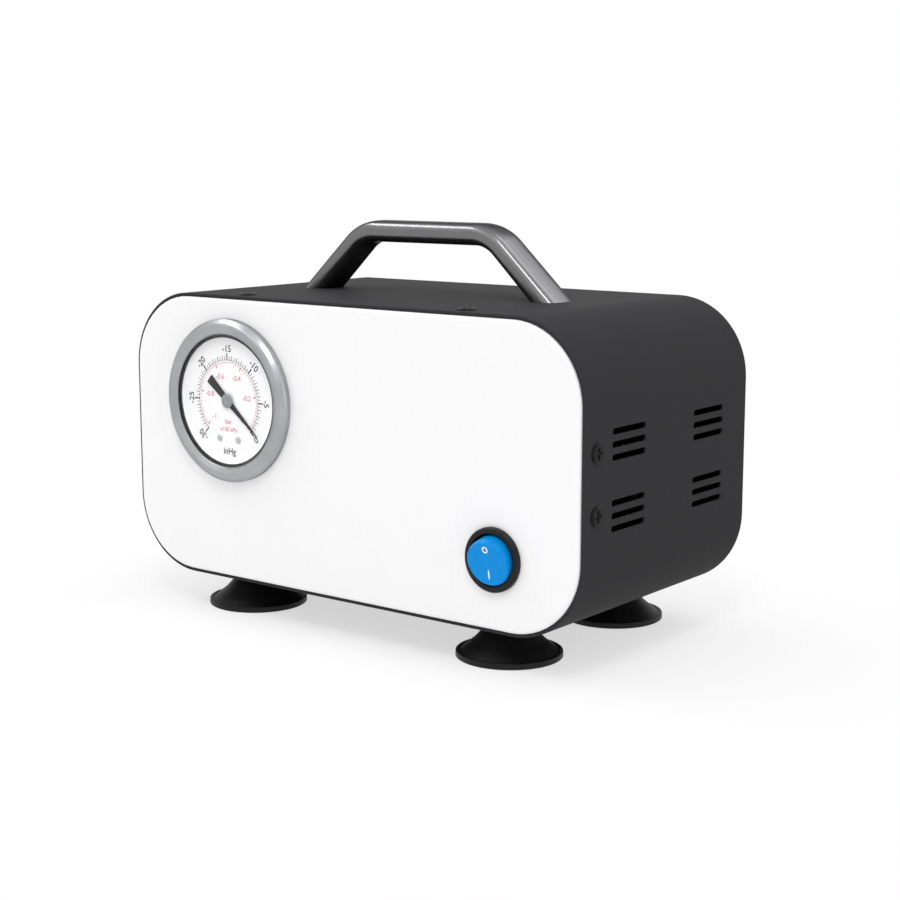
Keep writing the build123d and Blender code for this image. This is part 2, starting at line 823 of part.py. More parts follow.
with BuildPart() as gauge_lens:
    extrude(
        disc(facing_front(lens_front), GAUGE_R - SEAT, (GAUGE_X, GAUGE_Z)), amount=-LENS_T
    )
gauge_lens.part.label = "gauge_lens"

with BuildPart() as gauge_ring:
    extrude(
        disc(
            facing_front(lens_back + SEAT), GAUGE_R - GAUGE_WALL - SEAT, (GAUGE_X, GAUGE_Z)
        ),
        amount=SEAT - DIAL_SPACE,
    )
    extrude(
        hole(facing_front(lens_back + SEAT), RING_IN_R, (GAUGE_X, GAUGE_Z)),
        amount=SEAT - DIAL_SPACE,
        mode=Mode.SUBTRACT,
    )
gauge_ring.part.label = "gauge_ring"

dial_screw_places = [
    (GAUGE_X + sx * DIAL_SCREW_X, GAUGE_Z - DIAL_SCREW_DOWN) for sx in (-1, 1)
]
with BuildPart() as gauge_dial:
    extrude(disc(facing_front(dial_front), DIAL_R, (GAUGE_X, GAUGE_Z)), amount=-DIAL_T)
    extrude(
        hole(facing_front(dial_front), ARBOR_R * 2, (GAUGE_X, GAUGE_Z)),
        amount=-DIAL_T,
        mode=Mode.SUBTRACT,
    )
    extrude(
        hole(facing_front(dial_front), DIAL_SCREW_R / 2 + SEAT, *dial_screw_places),
        amount=-DIAL_T,
        mode=Mode.SUBTRACT,
    )
gauge_dial.part.label = "gauge_dial"

with BuildPart() as gauge_dial_screws:
    extrude(
        disc(facing_front(dial_front), DIAL_SCREW_R, *dial_screw_places),
        amount=DIAL_SCREW_HEAD_H,
    )
    extrude(
        disc(facing_front(dial_front), DIAL_SCREW_R / 2, *dial_screw_places),
        amount=-(MOVEMENT_FRONT - dial_front),
    )
gauge_dial_screws.part.label = "gauge_dial_screws"

# Pointer: a tapered needle with a broad tail on a hub, turned to the zero of the scale
pointer_back = dial_front - POINTER_GAP
pointer_plane = Plane(
    origin=(GAUGE_X, FRONT_Y + pointer_back, GAUGE_Z),
    x_dir=(
        math.cos(math.radians(POINTER_ANGLE)),
        0,
        math.sin(math.radians(POINTER_ANGLE)),
    ),
    z_dir=(0, -1, 0),
)
with BuildPart() as gauge_pointer:
    with BuildSketch(pointer_plane):
        with BuildLine():
            Polyline(
                (-POINTER_TAIL, 1.5),
                (-POINTER_TAIL, -1.5),
                (-HUB_R, -1.0),
                (HUB_R, -0.9),
                (POINTER_TIP, -0.15),
                (POINTER_TIP, 0.15),
                (HUB_R, 0.9),
                (-HUB_R, 1.0),
                close=True,
            )
        make_face()
        RegularPolygon(HUB_R, sides(HUB_R))
    extrude(amount=POINTER_T)
    with BuildSketch(pointer_plane):
        RegularPolygon(HUB_R, sides(HUB_R))
    extrude(amount=HUB_T)
gauge_pointer.part.label = "gauge_pointer"

# Movement: two plates on posts, which carry the arbor and the sector
sector_down = SECTOR_R + SECTOR_R / SECTOR_RATIO
movement_back = MOVEMENT_FRONT + MOVEMENT_PLATE_T + MOVEMENT_SPAN
plate_w = 2 * (MOVEMENT_POST_X + MOVEMENT_POST_R + MOVEMENT_EDGE)
plate_h = sector_down + 2 * MOVEMENT_MARGIN
plate_z = GAUGE_Z - sector_down / 2
sector_pivot = (GAUGE_X, GAUGE_Z - sector_down)
movement_posts = [(GAUGE_X + sx * MOVEMENT_POST_X, GAUGE_Z - sector_down) for sx in (-1, 1)]
with BuildPart() as gauge_movement:
    for plate_depth in (MOVEMENT_FRONT, movement_back):
        with BuildSketch(facing_front(plate_depth)):
            with Locations((GAUGE_X, plate_z)):
                Rectangle(plate_w, plate_h)
        extrude(amount=-MOVEMENT_PLATE_T)
        extrude(
            hole(facing_front(plate_depth), ARBOR_R + RUN, (GAUGE_X, GAUGE_Z), sector_pivot),
            amount=-MOVEMENT_PLATE_T,
            mode=Mode.SUBTRACT,
        )
    extrude(
        disc(
            facing_front(MOVEMENT_FRONT + MOVEMENT_PLATE_T), MOVEMENT_POST_R, *movement_posts
        ),
        amount=-MOVEMENT_SPAN,
    )
gauge_movement.part.label = "gauge_movement"

# The socket holds the Bourdon tube and the movement, and comes out of the case as the gauge's stem
socket_z = GAUGE_Z
gauge_stem_root = GAUGE_BACK + SOCKET_OUT
with BuildPart() as gauge_socket:
    extrude(
        disc(
            facing_front(movement_back + MOVEMENT_PLATE_T),
            SOCKET_W / 2,
            (GAUGE_X, socket_z),
        ),
        amount=-(gauge_stem_root - movement_back - MOVEMENT_PLATE_T),
    )
    extrude(
        disc(facing_front(gauge_stem_root), STEM_R, (GAUGE_X, socket_z)), amount=-STEM_L
    )
    extrude(
        disc(facing_front(gauge_stem_root), STEM_BORE_R, (GAUGE_X, socket_z)),
        amount=-STEM_L,
        mode=Mode.SUBTRACT,
    )
    extrude(
        outline(
            facing_front(BOURDON_DEPTH - SOCKET_ARM_T / 2),
            (GAUGE_X - SOCKET_ARM_W / 2, GAUGE_Z),
            (GAUGE_X - SOCKET_ARM_W / 2, GAUGE_Z - BOURDON_R),
            (GAUGE_X + SOCKET_ARM_W / 2, GAUGE_Z - BOURDON_R),
            (GAUGE_X + SOCKET_ARM_W / 2, GAUGE_Z),
        ),
        amount=-SOCKET_ARM_T,
    )
gauge_socket.part.label = "gauge_socket"

# Bourdon tube: three quarters of a turn of flattened tube, from the socket to its free tip
with BuildPart() as bourdon_tube:
    with BuildSketch(
        Plane(
            origin=(GAUGE_X, FRONT_Y + BOURDON_DEPTH, GAUGE_Z),
            x_dir=(0, 0, -1),
            z_dir=(-1, 0, 0),
        )
    ):
        with Locations((BOURDON_R + BOURDON_T / 2 + BOURDON_GAP, 0)):
            Rectangle(BOURDON_T, BOURDON_W)
    revolve(axis=gauge_axis, revolution_arc=-BOURDON_TURN)
bourdon_tube.part.label = "bourdon_tube"

# Pinion and arbor, which turn with the pointer
pinion_r = SECTOR_R / SECTOR_RATIO
gear_depth = MOVEMENT_FRONT + MOVEMENT_PLATE_T + SECTOR_T
with BuildPart() as gauge_arbor:
    extrude(
        disc(facing_front(pointer_back), ARBOR_R, (GAUGE_X, GAUGE_Z)),
        amount=-(movement_back + MOVEMENT_PLATE_T - pointer_back - SEAT),
    )
    extrude(
        disc(facing_front(gear_depth), pinion_r - SEAT, (GAUGE_X, GAUGE_Z)), amount=-PINION_L
    )
gauge_arbor.part.label = "gauge_arbor"

# Rocker switch: a round body with a well, held in the front panel
rocker_pivot_depth = -PANEL_PROUD
with BuildPart() as switch_body:
    extrude(
        disc(
            facing_front(-PANEL_PROUD - SWITCH_BEZEL_T), SWITCH_BEZEL_R, (SWITCH_X, SWITCH_Z)
        ),
        amount=-SWITCH_BEZEL_T,
    )
    chamfer(switch_body.faces().sort_by(Axis.Y)[0].edges(), SWITCH_BEZEL_EDGE)
    extrude(
        disc(facing_front(-PANEL_PROUD), SWITCH_BODY_R, (SWITCH_X, SWITCH_Z)),
        amount=-(SWITCH_BODY_D + PANEL_PROUD),
    )
    extrude(
        hole(
            facing_front(-PANEL_PROUD - SWITCH_BEZEL_T), SWITCH_WELL_R, (SWITCH_X, SWITCH_Z)
        ),
        amount=-(SWITCH_BEZEL_T + PANEL_PROUD + SWITCH_WELL_D),
        mode=Mode.SUBTRACT,
    )
    extrude(
        hole(
            Plane.YZ.offset(SWITCH_X - SWITCH_BODY_R),
            ROCKER_PIN_R + RUN,
            (FRONT_Y + rocker_pivot_depth, SWITCH_Z),
        ),
        amount=2 * SWITCH_BODY_R,
        mode=Mode.SUBTRACT,
    )
switch_body.part.label = "switch_body"

with BuildPart() as switch_terminals:
    with BuildSketch(facing_front(SWITCH_BODY_D)):
        with Locations(*[(SWITCH_X, SWITCH_Z + row * TERMINAL_PITCH) for row in (-1, 0, 1)]):
            Rectangle(TERMINAL_W, TERMINAL_T)
    extrude(amount=-TERMINAL_L)
switch_terminals.part.label = "switch_terminals"

# Rocker: a round button that tips about a cross pin, at rest with its lower half pressed in
rocker_tilt = math.radians(ROCKER_TILT)
rocker_plane = Plane(
    origin=(SWITCH_X, FRONT_Y + rocker_pivot_depth, SWITCH_Z),
    x_dir=(1, 0, 0),
    z_dir=(0, -math.cos(rocker_tilt), -math.sin(rocker_tilt)),
)
rocker_side = Plane(
    origin=(SWITCH_X - SWITCH_BODY_R, FRONT_Y + rocker_pivot_depth, SWITCH_Z),
    x_dir=(0, math.cos(rocker_tilt), math.sin(rocker_tilt)),
    z_dir=(1, 0, 0),
)
with BuildPart() as rocker_button:
    with BuildSketch(rocker_plane.offset(-ROCKER_BACK)):
        RegularPolygon(ROCKER_R, HOUSING_SIDES)
    extrude(amount=ROCKER_BACK + ROCKER_FACE_H + ROCKER_SPARE)
    with BuildSketch(rocker_side):
        RegularPolygon(ROCKER_SWING_R, HOUSING_SIDES)
    extrude(amount=2 * SWITCH_BODY_R, mode=Mode.INTERSECT)
    with BuildSketch(rocker_side):
        with Locations((-ROCKER_FACE_H - ROCKER_HOLLOW_R, 0)):
            Circle(ROCKER_HOLLOW_R)
    extrude(amount=2 * SWITCH_BODY_R, mode=Mode.SUBTRACT)
    with BuildSketch(rocker_side):
        RegularPolygon(ROCKER_PIN_R, ROUND_SIDES)
    extrude(amount=2 * SWITCH_BODY_R)
rocker_button.part.label = "rocker_button"

# Mains inlet: a flanged socket with a slot below it for the fuse drawer
inlet_front = REAR_FACE + INLET_T
socket_z_mid = INLET_Z + SOCKET_UP
drawer_z = INLET_Z - DRAWER_DOWN
pin_places = [
    (INLET_X - PIN_PITCH, socket_z_mid - 2),
    (INLET_X + PIN_PITCH, socket_z_mid - 2),
    (INLET_X, socket_z_mid + 2),
]
mouth_w = SOCKET_MOUTH_W / 2
mouth_h = SOCKET_MOUTH_H / 2
with BuildPart() as inlet_socket:
    extrude(
        slab(facing_front(REAR_FACE), INLET_W, INLET_H, 4, (INLET_X, INLET_Z)),
        amount=-INLET_T,
    )
    extrude(
        slab(
            facing_front(REAR_FACE - INLET_BODY_D),
            INLET_BODY_W,
            INLET_BODY_H,
            2,
            (INLET_X, INLET_Z),
        ),
        amount=-INLET_BODY_D,
    )
    extrude(
        outline(
            facing_front(inlet_front),
            (INLET_X - mouth_w, socket_z_mid - mouth_h),
            (INLET_X + mouth_w, socket_z_mid - mouth_h),
            (INLET_X + mouth_w, socket_z_mid + mouth_h - SOCKET_CHAMFER),
            (INLET_X + mouth_w - SOCKET_CHAMFER, socket_z_mid + mouth_h),
            (INLET_X - mouth_w + SOCKET_CHAMFER, socket_z_mid + mouth_h),
            (INLET_X - mouth_w, socket_z_mid + mouth_h - SOCKET_CHAMFER),
        ),
        amount=SOCKET_DEPTH,
        mode=Mode.SUBTRACT,
    )
    with BuildSketch(facing_front(inlet_front)):
        with Locations((INLET_X, drawer_z)):
            Rectangle(DRAWER_W + 2 * CLEAR, DRAWER_H + 2 * CLEAR)
    extrude(amount=DRAWER_L + CLEAR, mode=Mode.SUBTRACT)
    extrude(
        hole(facing_front(inlet_front), REAR_SCREW_R + SEAT, *inlet_screw_places),
        amount=INLET_T,
        mode=Mode.SUBTRACT,
    )
    with BuildSketch(facing_front(REAR_FACE - INLET_BODY_D)):
        with Locations(*pin_places):
            Rectangle(PIN_W + 2 * SEAT, PIN_H + 2 * SEAT)
    extrude(amount=-INLET_BODY_D, mode=Mode.SUBTRACT)
inlet_socket.part.label = "inlet_socket"

with BuildPart() as inlet_pins:
    with BuildSketch(facing_front(REAR_FACE - INLET_BODY_D - PIN_TAIL)):
        with Locations(*pin_places):
            Rectangle(PIN_W, PIN_H)
    extrude(amount=-(PIN_TAIL + INLET_BODY_D + INLET_T - PIN_SUNK))
inlet_pins.part.label = "inlet_pins"

# Fuse drawer: a tray with a finger lip, and the fuse lying across it
with BuildPart() as fuse_drawer:
    with BuildSketch(facing_front(inlet_front + 1.6)):
        with Locations((INLET_X, drawer_z)):
            Rectangle(DRAWER_W + 1.6, DRAWER_H + 1.2)
    extrude(amount=1.6 - CLEAR)
    with BuildSketch(facing_front(inlet_front + CLEAR)):
        with Locations((INLET_X, drawer_z)):
            Rectangle(DRAWER_W, DRAWER_H)
    extrude(amount=DRAWER_L)
    with BuildSketch(Plane.XY.offset(drawer_z + DRAWER_H / 2)):
        with Locations((INLET_X, FRONT_Y + inlet_front - DRAWER_L / 2)):
            Rectangle(FUSE_L + 2 * SEAT, 2 * FUSE_R + 2 * SEAT)
    extrude(amount=-(DRAWER_H / 2 + FUSE_R), mode=Mode.SUBTRACT)
fuse_drawer.part.label = "fuse_drawer"

fuse_y = FRONT_Y + inlet_front - DRAWER_L / 2
fuse_left = INLET_X - FUSE_L / 2
with BuildPart() as fuse:
    extrude(
        disc(Plane.YZ.offset(fuse_left), FUSE_R - 0.3, (fuse_y, drawer_z)), amount=FUSE_L
    )
    for cap_x in (fuse_left, fuse_left + FUSE_L - FUSE_CAP_L):
        extrude(disc(Plane.YZ.offset(cap_x), FUSE_R, (fuse_y, drawer_z)), amount=FUSE_CAP_L)
fuse.part.label = "fuse"


def barb_points(start, root, peak):
    """Half outline of a row of hose barbs with short lands, from the shoulder outwards."""
    points = [(root, start), (root, start + BARB_NECK)]
    for ridge in range(BARB_COUNT):
        foot = start + BARB_NECK + ridge * BARB_PITCH
        points += [(peak, foot), (peak, foot + BARB_LAND), (root, foot + BARB_PITCH)]
    return points


# Port fittings: a hexagon on the panel's face, hose barbs outside and a thread through the panel
thread_end = REAR_FACE - THREAD_L
with BuildPart() as port_fittings:
    with BuildSketch(facing_front(REAR_FACE)):
        with Locations(*port_places):
            RegularPolygon(HEX_AF / 2, 6, major_radius=False)
    extrude(amount=-HEX_T)
    for port_x, port_z in port_places:
        revolve(
            outline(
                depth_section(port_x, port_z),
                (0, REAR_FACE + HEX_T),
                *barb_points(REAR_FACE + HEX_T, BARB_ROOT_R, BARB_R),
                (0, REAR_FACE + BARB_L),
            ),
            axis=depth_axis(port_x, port_z),
        )
    extrude(disc(facing_front(thread_end), THREAD_R, *port_places), amount=-THREAD_L)
    extrude(disc(facing_front(thread_end), STEM_R, port_places[1]), amount=STEM_L)
    extrude(
        disc(facing_front(thread_end - STEM_L), STEM_BORE_R, *port_places),
        amount=-(REAR_FACE + BARB_L - thread_end + STEM_L),
        mode=Mode.SUBTRACT,
    )
port_fittings.part.label = "port_fittings"

with BuildPart() as exhaust_nut:
    with BuildSketch(facing_front(REAR_BACK)):
        with Locations((EXHAUST_PORT_X, PORT_Z)):
            RegularPolygon(HEX_AF / 2, 6, major_radius=False)
            RegularPolygon(
                THREAD_R + SEAT, ROUND_SIDES, major_radius=False, mode=Mode.SUBTRACT
            )
    extrude(amount=HEX_T)
exhaust_nut.part.label = "exhaust_nut"

# Manifold: joins the vacuum port to the pump and to the gauge
manifold_front = REAR_BACK - MANIFOLD_D
manifold_right = VACUUM_PORT_X + MANIFOLD_W / 2
tap_z = PORT_Z - GAUGE_TAP_DOWN
with BuildPart() as manifold:
    with BuildSketch(facing_front(REAR_BACK)):
        with Locations((VACUUM_PORT_X, PORT_Z + (MANIFOLD_TOP - MANIFOLD_BOTTOM) / 2)):
            RectangleRounded(MANIFOLD_W, MANIFOLD_TOP + MANIFOLD_BOTTOM, MANIFOLD_EDGE)
    extrude(amount=MANIFOLD_D)
    extrude(disc(facing_front(manifold_front), STEM_R, (VACUUM_PORT_X, tap_z)), amount=STEM_L)
    extrude(disc(Plane.YZ.offset(manifold_right), STEM_R, (PORT_Y, PORT_Z)), amount=STEM_L)
    extrude(
        hole(facing_front(REAR_BACK), THREAD_R + SEAT, (VACUUM_PORT_X, PORT_Z)),
        amount=THREAD_L - REAR_T + SEAT,
        mode=Mode.SUBTRACT,
    )
    extrude(
        disc(facing_front(REAR_BACK), GALLERY_R + 0.4, (VACUUM_PORT_X, PORT_Z)),
        amount=MANIFOLD_D - MANIFOLD_END,
        mode=Mode.SUBTRACT,
    )
    extrude(
        disc(Plane.YZ.offset(VACUUM_PORT_X), STEM_BORE_R, (PORT_Y, PORT_Z)),
        amount=MANIFOLD_W / 2 + STEM_L,
        mode=Mode.SUBTRACT,
    )
    tap_y = PORT_Y - GAUGE_TAP_FRONT
    extrude(
        disc(Plane.XY.offset(PORT_Z), GALLERY_R, (VACUUM_PORT_X, tap_y)),
        amount=-(GAUGE_TAP_DOWN + GALLERY_R),
        mode=Mode.SUBTRACT,
    )
    extrude(
        disc(facing_front(tap_y - FRONT_Y), STEM_BORE_R, (VACUUM_PORT_X, tap_z)),
        amount=tap_y - FRONT_Y - manifold_front + STEM_L,
        mode=Mode.SUBTRACT,
    )
manifold.part.label = "manifold"


def bend_radii(points, share=0.45):
    """Largest tidy arc at each inner point of a route, from its two runs and its turn."""
    radii = []
    for before, corner, after in zip(points, points[1:], points[2:]):
        run_in = Vector(*corner) - Vector(*before)
        run_out = Vector(*after) - Vector(*corner)
        half_turn = math.radians(run_in.get_angle(run_out)) / 2
        radii.append(share * min(run_in.length, run_out.length) / math.tan(half_turn))
    return radii


# Hoses inside the case, each pushed over a stem at both ends
gauge_hose_route = [
    (VACUUM_PORT_X, FRONT_Y + manifold_front - HOSE_GAP, tap_z),
    (VACUUM_PORT_X, FRONT_Y + manifold_front - STEM_L - HOSE_LEAD, tap_z),
    (GAUGE_X, FRONT_Y + gauge_stem_root + STEM_L + HOSE_LEAD, GAUGE_Z),
    (GAUGE_X, FRONT_Y + gauge_stem_root + HOSE_GAP, GAUGE_Z),
]
pump_hose_route = [
    (manifold_right + HOSE_GAP, PORT_Y, PORT_Z),
    (HEAD_LEFT - HOSE_GAP, PORT_Y, PORT_Z),
]
exhaust_hose_route = [
    (HEAD_RIGHT + HOSE_GAP, AXIS_Y - HEAD_PORT_BACK, PORT_Z),
    (EXHAUST_PORT_X, AXIS_Y - HEAD_PORT_BACK, PORT_Z),
    (EXHAUST_PORT_X, FRONT_Y + REAR_FACE - THREAD_L - HOSE_GAP, PORT_Z),
]
with BuildPart() as hoses:
    for route in (gauge_hose_route, pump_hose_route, exhaust_hose_route):
        with BuildLine() as hose_line:
            if len(route) > 2:
                FilletPolyline(*route, radius=bend_radii(route))
            else:
                Line(*route)
        with BuildSketch(Plane(origin=hose_line.line @ 0, z_dir=hose_line.line % 0)):
            RegularPolygon(HOSE_R, ROUND_SIDES)
            RegularPolygon(HOSE_BORE_R, ROUND_SIDES, major_radius=False, mode=Mode.SUBTRACT)
        sweep(path=hose_line.line)
hoses.part.label = "hoses"

# Isolators: rubber bushes between the base plate and the pump's bracket
with BuildPart() as isolators:
    with BuildSketch(Plane.XY.offset(BASE_TOP)):
        with Locations(*isolator_places):
            RegularPolygon(ISOLATOR_R, ROUND_SIDES)
            RegularPolygon(STUD_R + SEAT, SHANK_SIDES, major_radius=False, mode=Mode.SUBTRACT)
    extrude(amount=ISOLATOR_H)
isolators.part.label = "isolators"

# Bracket: the plate under the crankcase and motor
crank_bolt_places = [
    (CRANK_X + sx * CRANK_BOLT_X, AXIS_Y + sy * CRANK_BOLT_Y)
    for sx in (-1, 1)
    for sy in (-1, 1)
]
with BuildPart() as pump_bracket:
    with BuildSketch(Plane.XY.offset(BRACKET_Z)):
        with Locations((bracket_x, AXIS_Y)):
            RectangleRounded(bracket_w, bracket_d, PLATE_CORNER_R)
    extrude(amount=BRACKET_T)
    extrude(
        hole(Plane.XY.offset(BRACKET_Z), STUD_R + SEAT, *isolator_places, *crank_bolt_places),
        amount=BRACKET_T,
        mode=Mode.SUBTRACT,
    )
pump_bracket.part.label = "pump_bracket"

# Crankcase: a cast housing, round about the shaft, with feet below and a square deck on top
axis_line = Axis((CRANK_X, AXIS_Y, AXIS_Z), (1, 0, 0))
crank_left = CRANK_X - CRANK_L / 2
crank_right = CRANK_X + CRANK_L / 2
motor_screw_places = [
    (AXIS_Y + MOTOR_SCREW_RING * math.cos(a), AXIS_Z + MOTOR_SCREW_RING * math.sin(a))
    for a in (math.radians(45 + 90 * k) for k in range(4))
]
head_bolt_places = [
    (CRANK_X + sx * HEAD_BOLT, AXIS_Y + sy * HEAD_BOLT) for sx in (-1, 1) for sy in (-1, 1)
]
neck_w = 2 * (DIAPHRAGM_WORK_R + NECK_WALL)
with BuildPart() as crankcase:
    with BuildSketch(Plane.YZ.offset(crank_left)):
        with Locations((AXIS_Y, AXIS_Z)):
            RegularPolygon(CRANK_R, HOUSING_SIDES)
        with Locations((AXIS_Y, (CRANK_FOOT_Z + AXIS_Z) / 2)):
            Rectangle(CRANK_FOOT_W, AXIS_Z - CRANK_FOOT_Z)
        with Locations((AXIS_Y, (DECK_Z + AXIS_Z) / 2)):
            Rectangle(neck_w, DECK_Z - AXIS_Z)
    extrude(amount=CRANK_L)
    extrude(
        slab(
            Plane.XY.offset(DECK_Z - CRANK_FLANGE_T),
            CRANK_FLANGE_W,
            CRANK_FLANGE_W,
            HEAD_R,
            (CRANK_X, AXIS_Y),
        ),
        amount=CRANK_FLANGE_T,
    )
    extrude(
        hole(Plane.YZ.offset(crank_left + CRANK_WALL), CRANK_BORE_R, (AXIS_Y, AXIS_Z)),
        amount=CRANK_L - CRANK_WALL,
        mode=Mode.SUBTRACT,
    )
    extrude(
        hole(Plane.YZ.offset(crank_left), MOTOR_PILOT_R + SEAT, (AXIS_Y, AXIS_Z)),
        amount=CRANK_WALL,
        mode=Mode.SUBTRACT,
    )
    extrude(
        hole(Plane.XY.offset(AXIS_Z), DIAPHRAGM_WORK_R, (CRANK_X, AXIS_Y)),
        amount=DECK_Z - AXIS_Z,
        mode=Mode.SUBTRACT,
    )
    extrude(
        hole(Plane.XY.offset(DIAPHRAGM_Z), DIAPHRAGM_R + SEAT, (CRANK_X, AXIS_Y)),
        amount=DIAPHRAGM_T,
        mode=Mode.SUBTRACT,
    )
    extrude(
        hole(Plane.XY.offset(DECK_Z - CRANK_FLANGE_T), STUD_R + SEAT, *head_bolt_places),
        amount=CRANK_FLANGE_T,
        mode=Mode.SUBTRACT,
    )
    extrude(
        hole(Plane.XY.offset(CRANK_FOOT_Z), STUD_R + SEAT, *crank_bolt_places),
        amount=CRANK_BOLT_GRIP,
        mode=Mode.SUBTRACT,
    )
    extrude(
        hole(Plane.YZ.offset(crank_left), REAR_SCREW_R + SEAT, *motor_screw_places),
        amount=CRANK_WALL,
        mode=Mode.SUBTRACT,
    )
    extrude(
        hole(
            Plane.YZ.offset(crank_left + CRANK_WALL - SMALL_HEAD_H),
            REAR_SCREW_HEAD_R + SEAT,
            *motor_screw_places,
        ),
        amount=SMALL_HEAD_H,
        mode=Mode.SUBTRACT,
    )
crankcase.part.label = "crankcase"

# Large screws: up into the handle's feet, and up through the bracket into the crankcase
with BuildPart() as large_screws:
    for seat_z, places, grip in (
        (ROOF_Z, handle_screw_places, CASE_WALL + HANDLE_SCREW_GRIP),
        (BRACKET_Z, crank_bolt_places, BRACKET_T + CRANK_BOLT_GRIP),
    ):
        extrude(
            disc(Plane.XY.offset(seat_z), PANEL_SCREW_HEAD_R, *places),
            amount=-PANEL_SCREW_HEAD_H,
        )
        extrude(disc(Plane.XY.offset(seat_z), PANEL_SCREW_R, *places), amount=grip - SEAT)
large_screws.part.label = "large_screws"

with BuildPart() as crank_cover:
    extrude(
        disc(Plane.YZ.offset(crank_right), CRANK_R - CLEAR, (AXIS_Y, AXIS_Z)),
        amount=CRANK_COVER_T,
    )
    with BuildSketch(Plane.YZ.offset(crank_right)):
        with Locations((AXIS_Y, AXIS_Z)):
            RegularPolygon(CRANK_BORE_R - SEAT, HOUSING_SIDES)
            RegularPolygon(CRANK_BORE_R - CRANK_COVER_LIP, HOUSING_SIDES, mode=Mode.SUBTRACT)
    extrude(amount=-CRANK_COVER_LIP)
crank_cover.part.label = "crank_cover"

# Motor: a can with an end cap at each end, and two curved magnets inside
motor_front_x = crank_left
can_right = motor_front_x - MOTOR_CAP_T
can_left = MOTOR_END_X + MOTOR_CAP_T
with BuildPart() as motor_can:
    with BuildSketch(Plane.YZ.offset(can_left)):
        with Locations((AXIS_Y, AXIS_Z)):
            RegularPolygon(MOTOR_R, HOUSING_SIDES)
            RegularPolygon(MOTOR_R - MOTOR_WALL, HOUSING_SIDES, mode=Mode.SUBTRACT)
    extrude(amount=can_right - can_left)
motor_can.part.label = "motor_can"

with BuildPart() as motor_magnets:
    with BuildSketch(Plane.YZ.offset((can_left + can_right) / 2 - ROTOR_L / 2)):
        with Locations((AXIS_Y, AXIS_Z)):
            RegularPolygon(MOTOR_R - MOTOR_WALL - SEAT, HOUSING_SIDES)
            RegularPolygon(
                MOTOR_R - MOTOR_WALL - MAGNET_T,
                HOUSING_SIDES,
                major_radius=False,
                mode=Mode.SUBTRACT,
            )
            Rectangle(2 * MOTOR_R, MAGNET_GAP, mode=Mode.SUBTRACT)
    extrude(amount=ROTOR_L)
motor_magnets.part.label = "motor_magnets"

with BuildPart() as motor_caps:
    extrude(disc(Plane.YZ.offset(can_right), MOTOR_R, (AXIS_Y, AXIS_Z)), amount=MOTOR_CAP_T)
    extrude(
        disc(Plane.YZ.offset(motor_front_x), MOTOR_PILOT_R, (AXIS_Y, AXIS_Z)),
        amount=MOTOR_PILOT_L,
    )
    extrude(
        hole(Plane.YZ.offset(can_right), BEARING_R + SEAT, (AXIS_Y, AXIS_Z)),
        amount=BEARING_T,
        mode=Mode.SUBTRACT,
    )
    extrude(
        hole(Plane.YZ.offset(can_right), SHAFT_R + CLEAR, (AXIS_Y, AXIS_Z)),
        amount=MOTOR_CAP_T + MOTOR_PILOT_L,
        mode=Mode.SUBTRACT,
    )
    extrude(
        hole(Plane.YZ.offset(can_right), REAR_SCREW_R + SEAT, *motor_screw_places),
        amount=MOTOR_CAP_T,
        mode=Mode.SUBTRACT,
    )
    extrude(disc(Plane.YZ.offset(can_left), MOTOR_R, (AXIS_Y, AXIS_Z)), amount=-MOTOR_CAP_T)
    extrude(
        disc(Plane.YZ.offset(can_left - MOTOR_CAP_T + 1), BEARING_R + 2, (AXIS_Y, AXIS_Z)),
        amount=BEARING_T,
    )
    extrude(
        hole(Plane.YZ.offset(can_left - MOTOR_CAP_T + 1), BEARING_R + SEAT, (AXIS_Y, AXIS_Z)),
        amount=BEARING_T,
        mode=Mode.SUBTRACT,
    )
    extrude(
        hole(Plane.YZ.offset(MOTOR_END_X), SHAFT_R + CLEAR, (AXIS_Y, AXIS_Z)),
        amount=MOTOR_CAP_T,
        mode=Mode.SUBTRACT,
    )
motor_caps.part.label = "motor_caps"

# Ball bearings: the outer rings sit in the caps, the inner rings on the shaft
bearing_xs = (can_right, can_left - MOTOR_CAP_T + 1)
ring_split = (BEARING_R + SHAFT_R) / 2
rod_split = (ROD_BEARING_R + CRANK_PIN_R) / 2
pin_left = ROD_X - ROD_BEARING_T / 2
with BuildPart() as bearing_outer_rings:
    for bearing_x in bearing_xs:
        with BuildSketch(Plane.YZ.offset(bearing_x)):
            with Locations((AXIS_Y, AXIS_Z)):
                RegularPolygon(BEARING_R, ROUND_SIDES)
                RegularPolygon(
                    ring_split + RUN, ROUND_SIDES, major_radius=False, mode=Mode.SUBTRACT
                )
        extrude(amount=BEARING_T)
bearing_outer_rings.part.label = "bearing_outer_rings"

with BuildPart() as bearing_inner_rings:
    for bearing_x in bearing_xs:
        with BuildSketch(Plane.YZ.offset(bearing_x)):
            with Locations((AXIS_Y, AXIS_Z)):
                RegularPolygon(ring_split, ROUND_SIDES)
                RegularPolygon(
                    SHAFT_R + SEAT / 2, ROUND_SIDES, major_radius=False, mode=Mode.SUBTRACT
                )
        extrude(amount=BEARING_T)
    with BuildSketch(Plane.YZ.offset(pin_left)):
        with Locations((AXIS_Y, PIN_Z)):
            RegularPolygon(rod_split, ROUND_SIDES)
            RegularPolygon(
                CRANK_PIN_R + SEAT / 2, ROUND_SIDES, major_radius=False, mode=Mode.SUBTRACT
            )
    extrude(amount=ROD_BEARING_T)
bearing_inner_rings.part.label = "bearing_inner_rings"

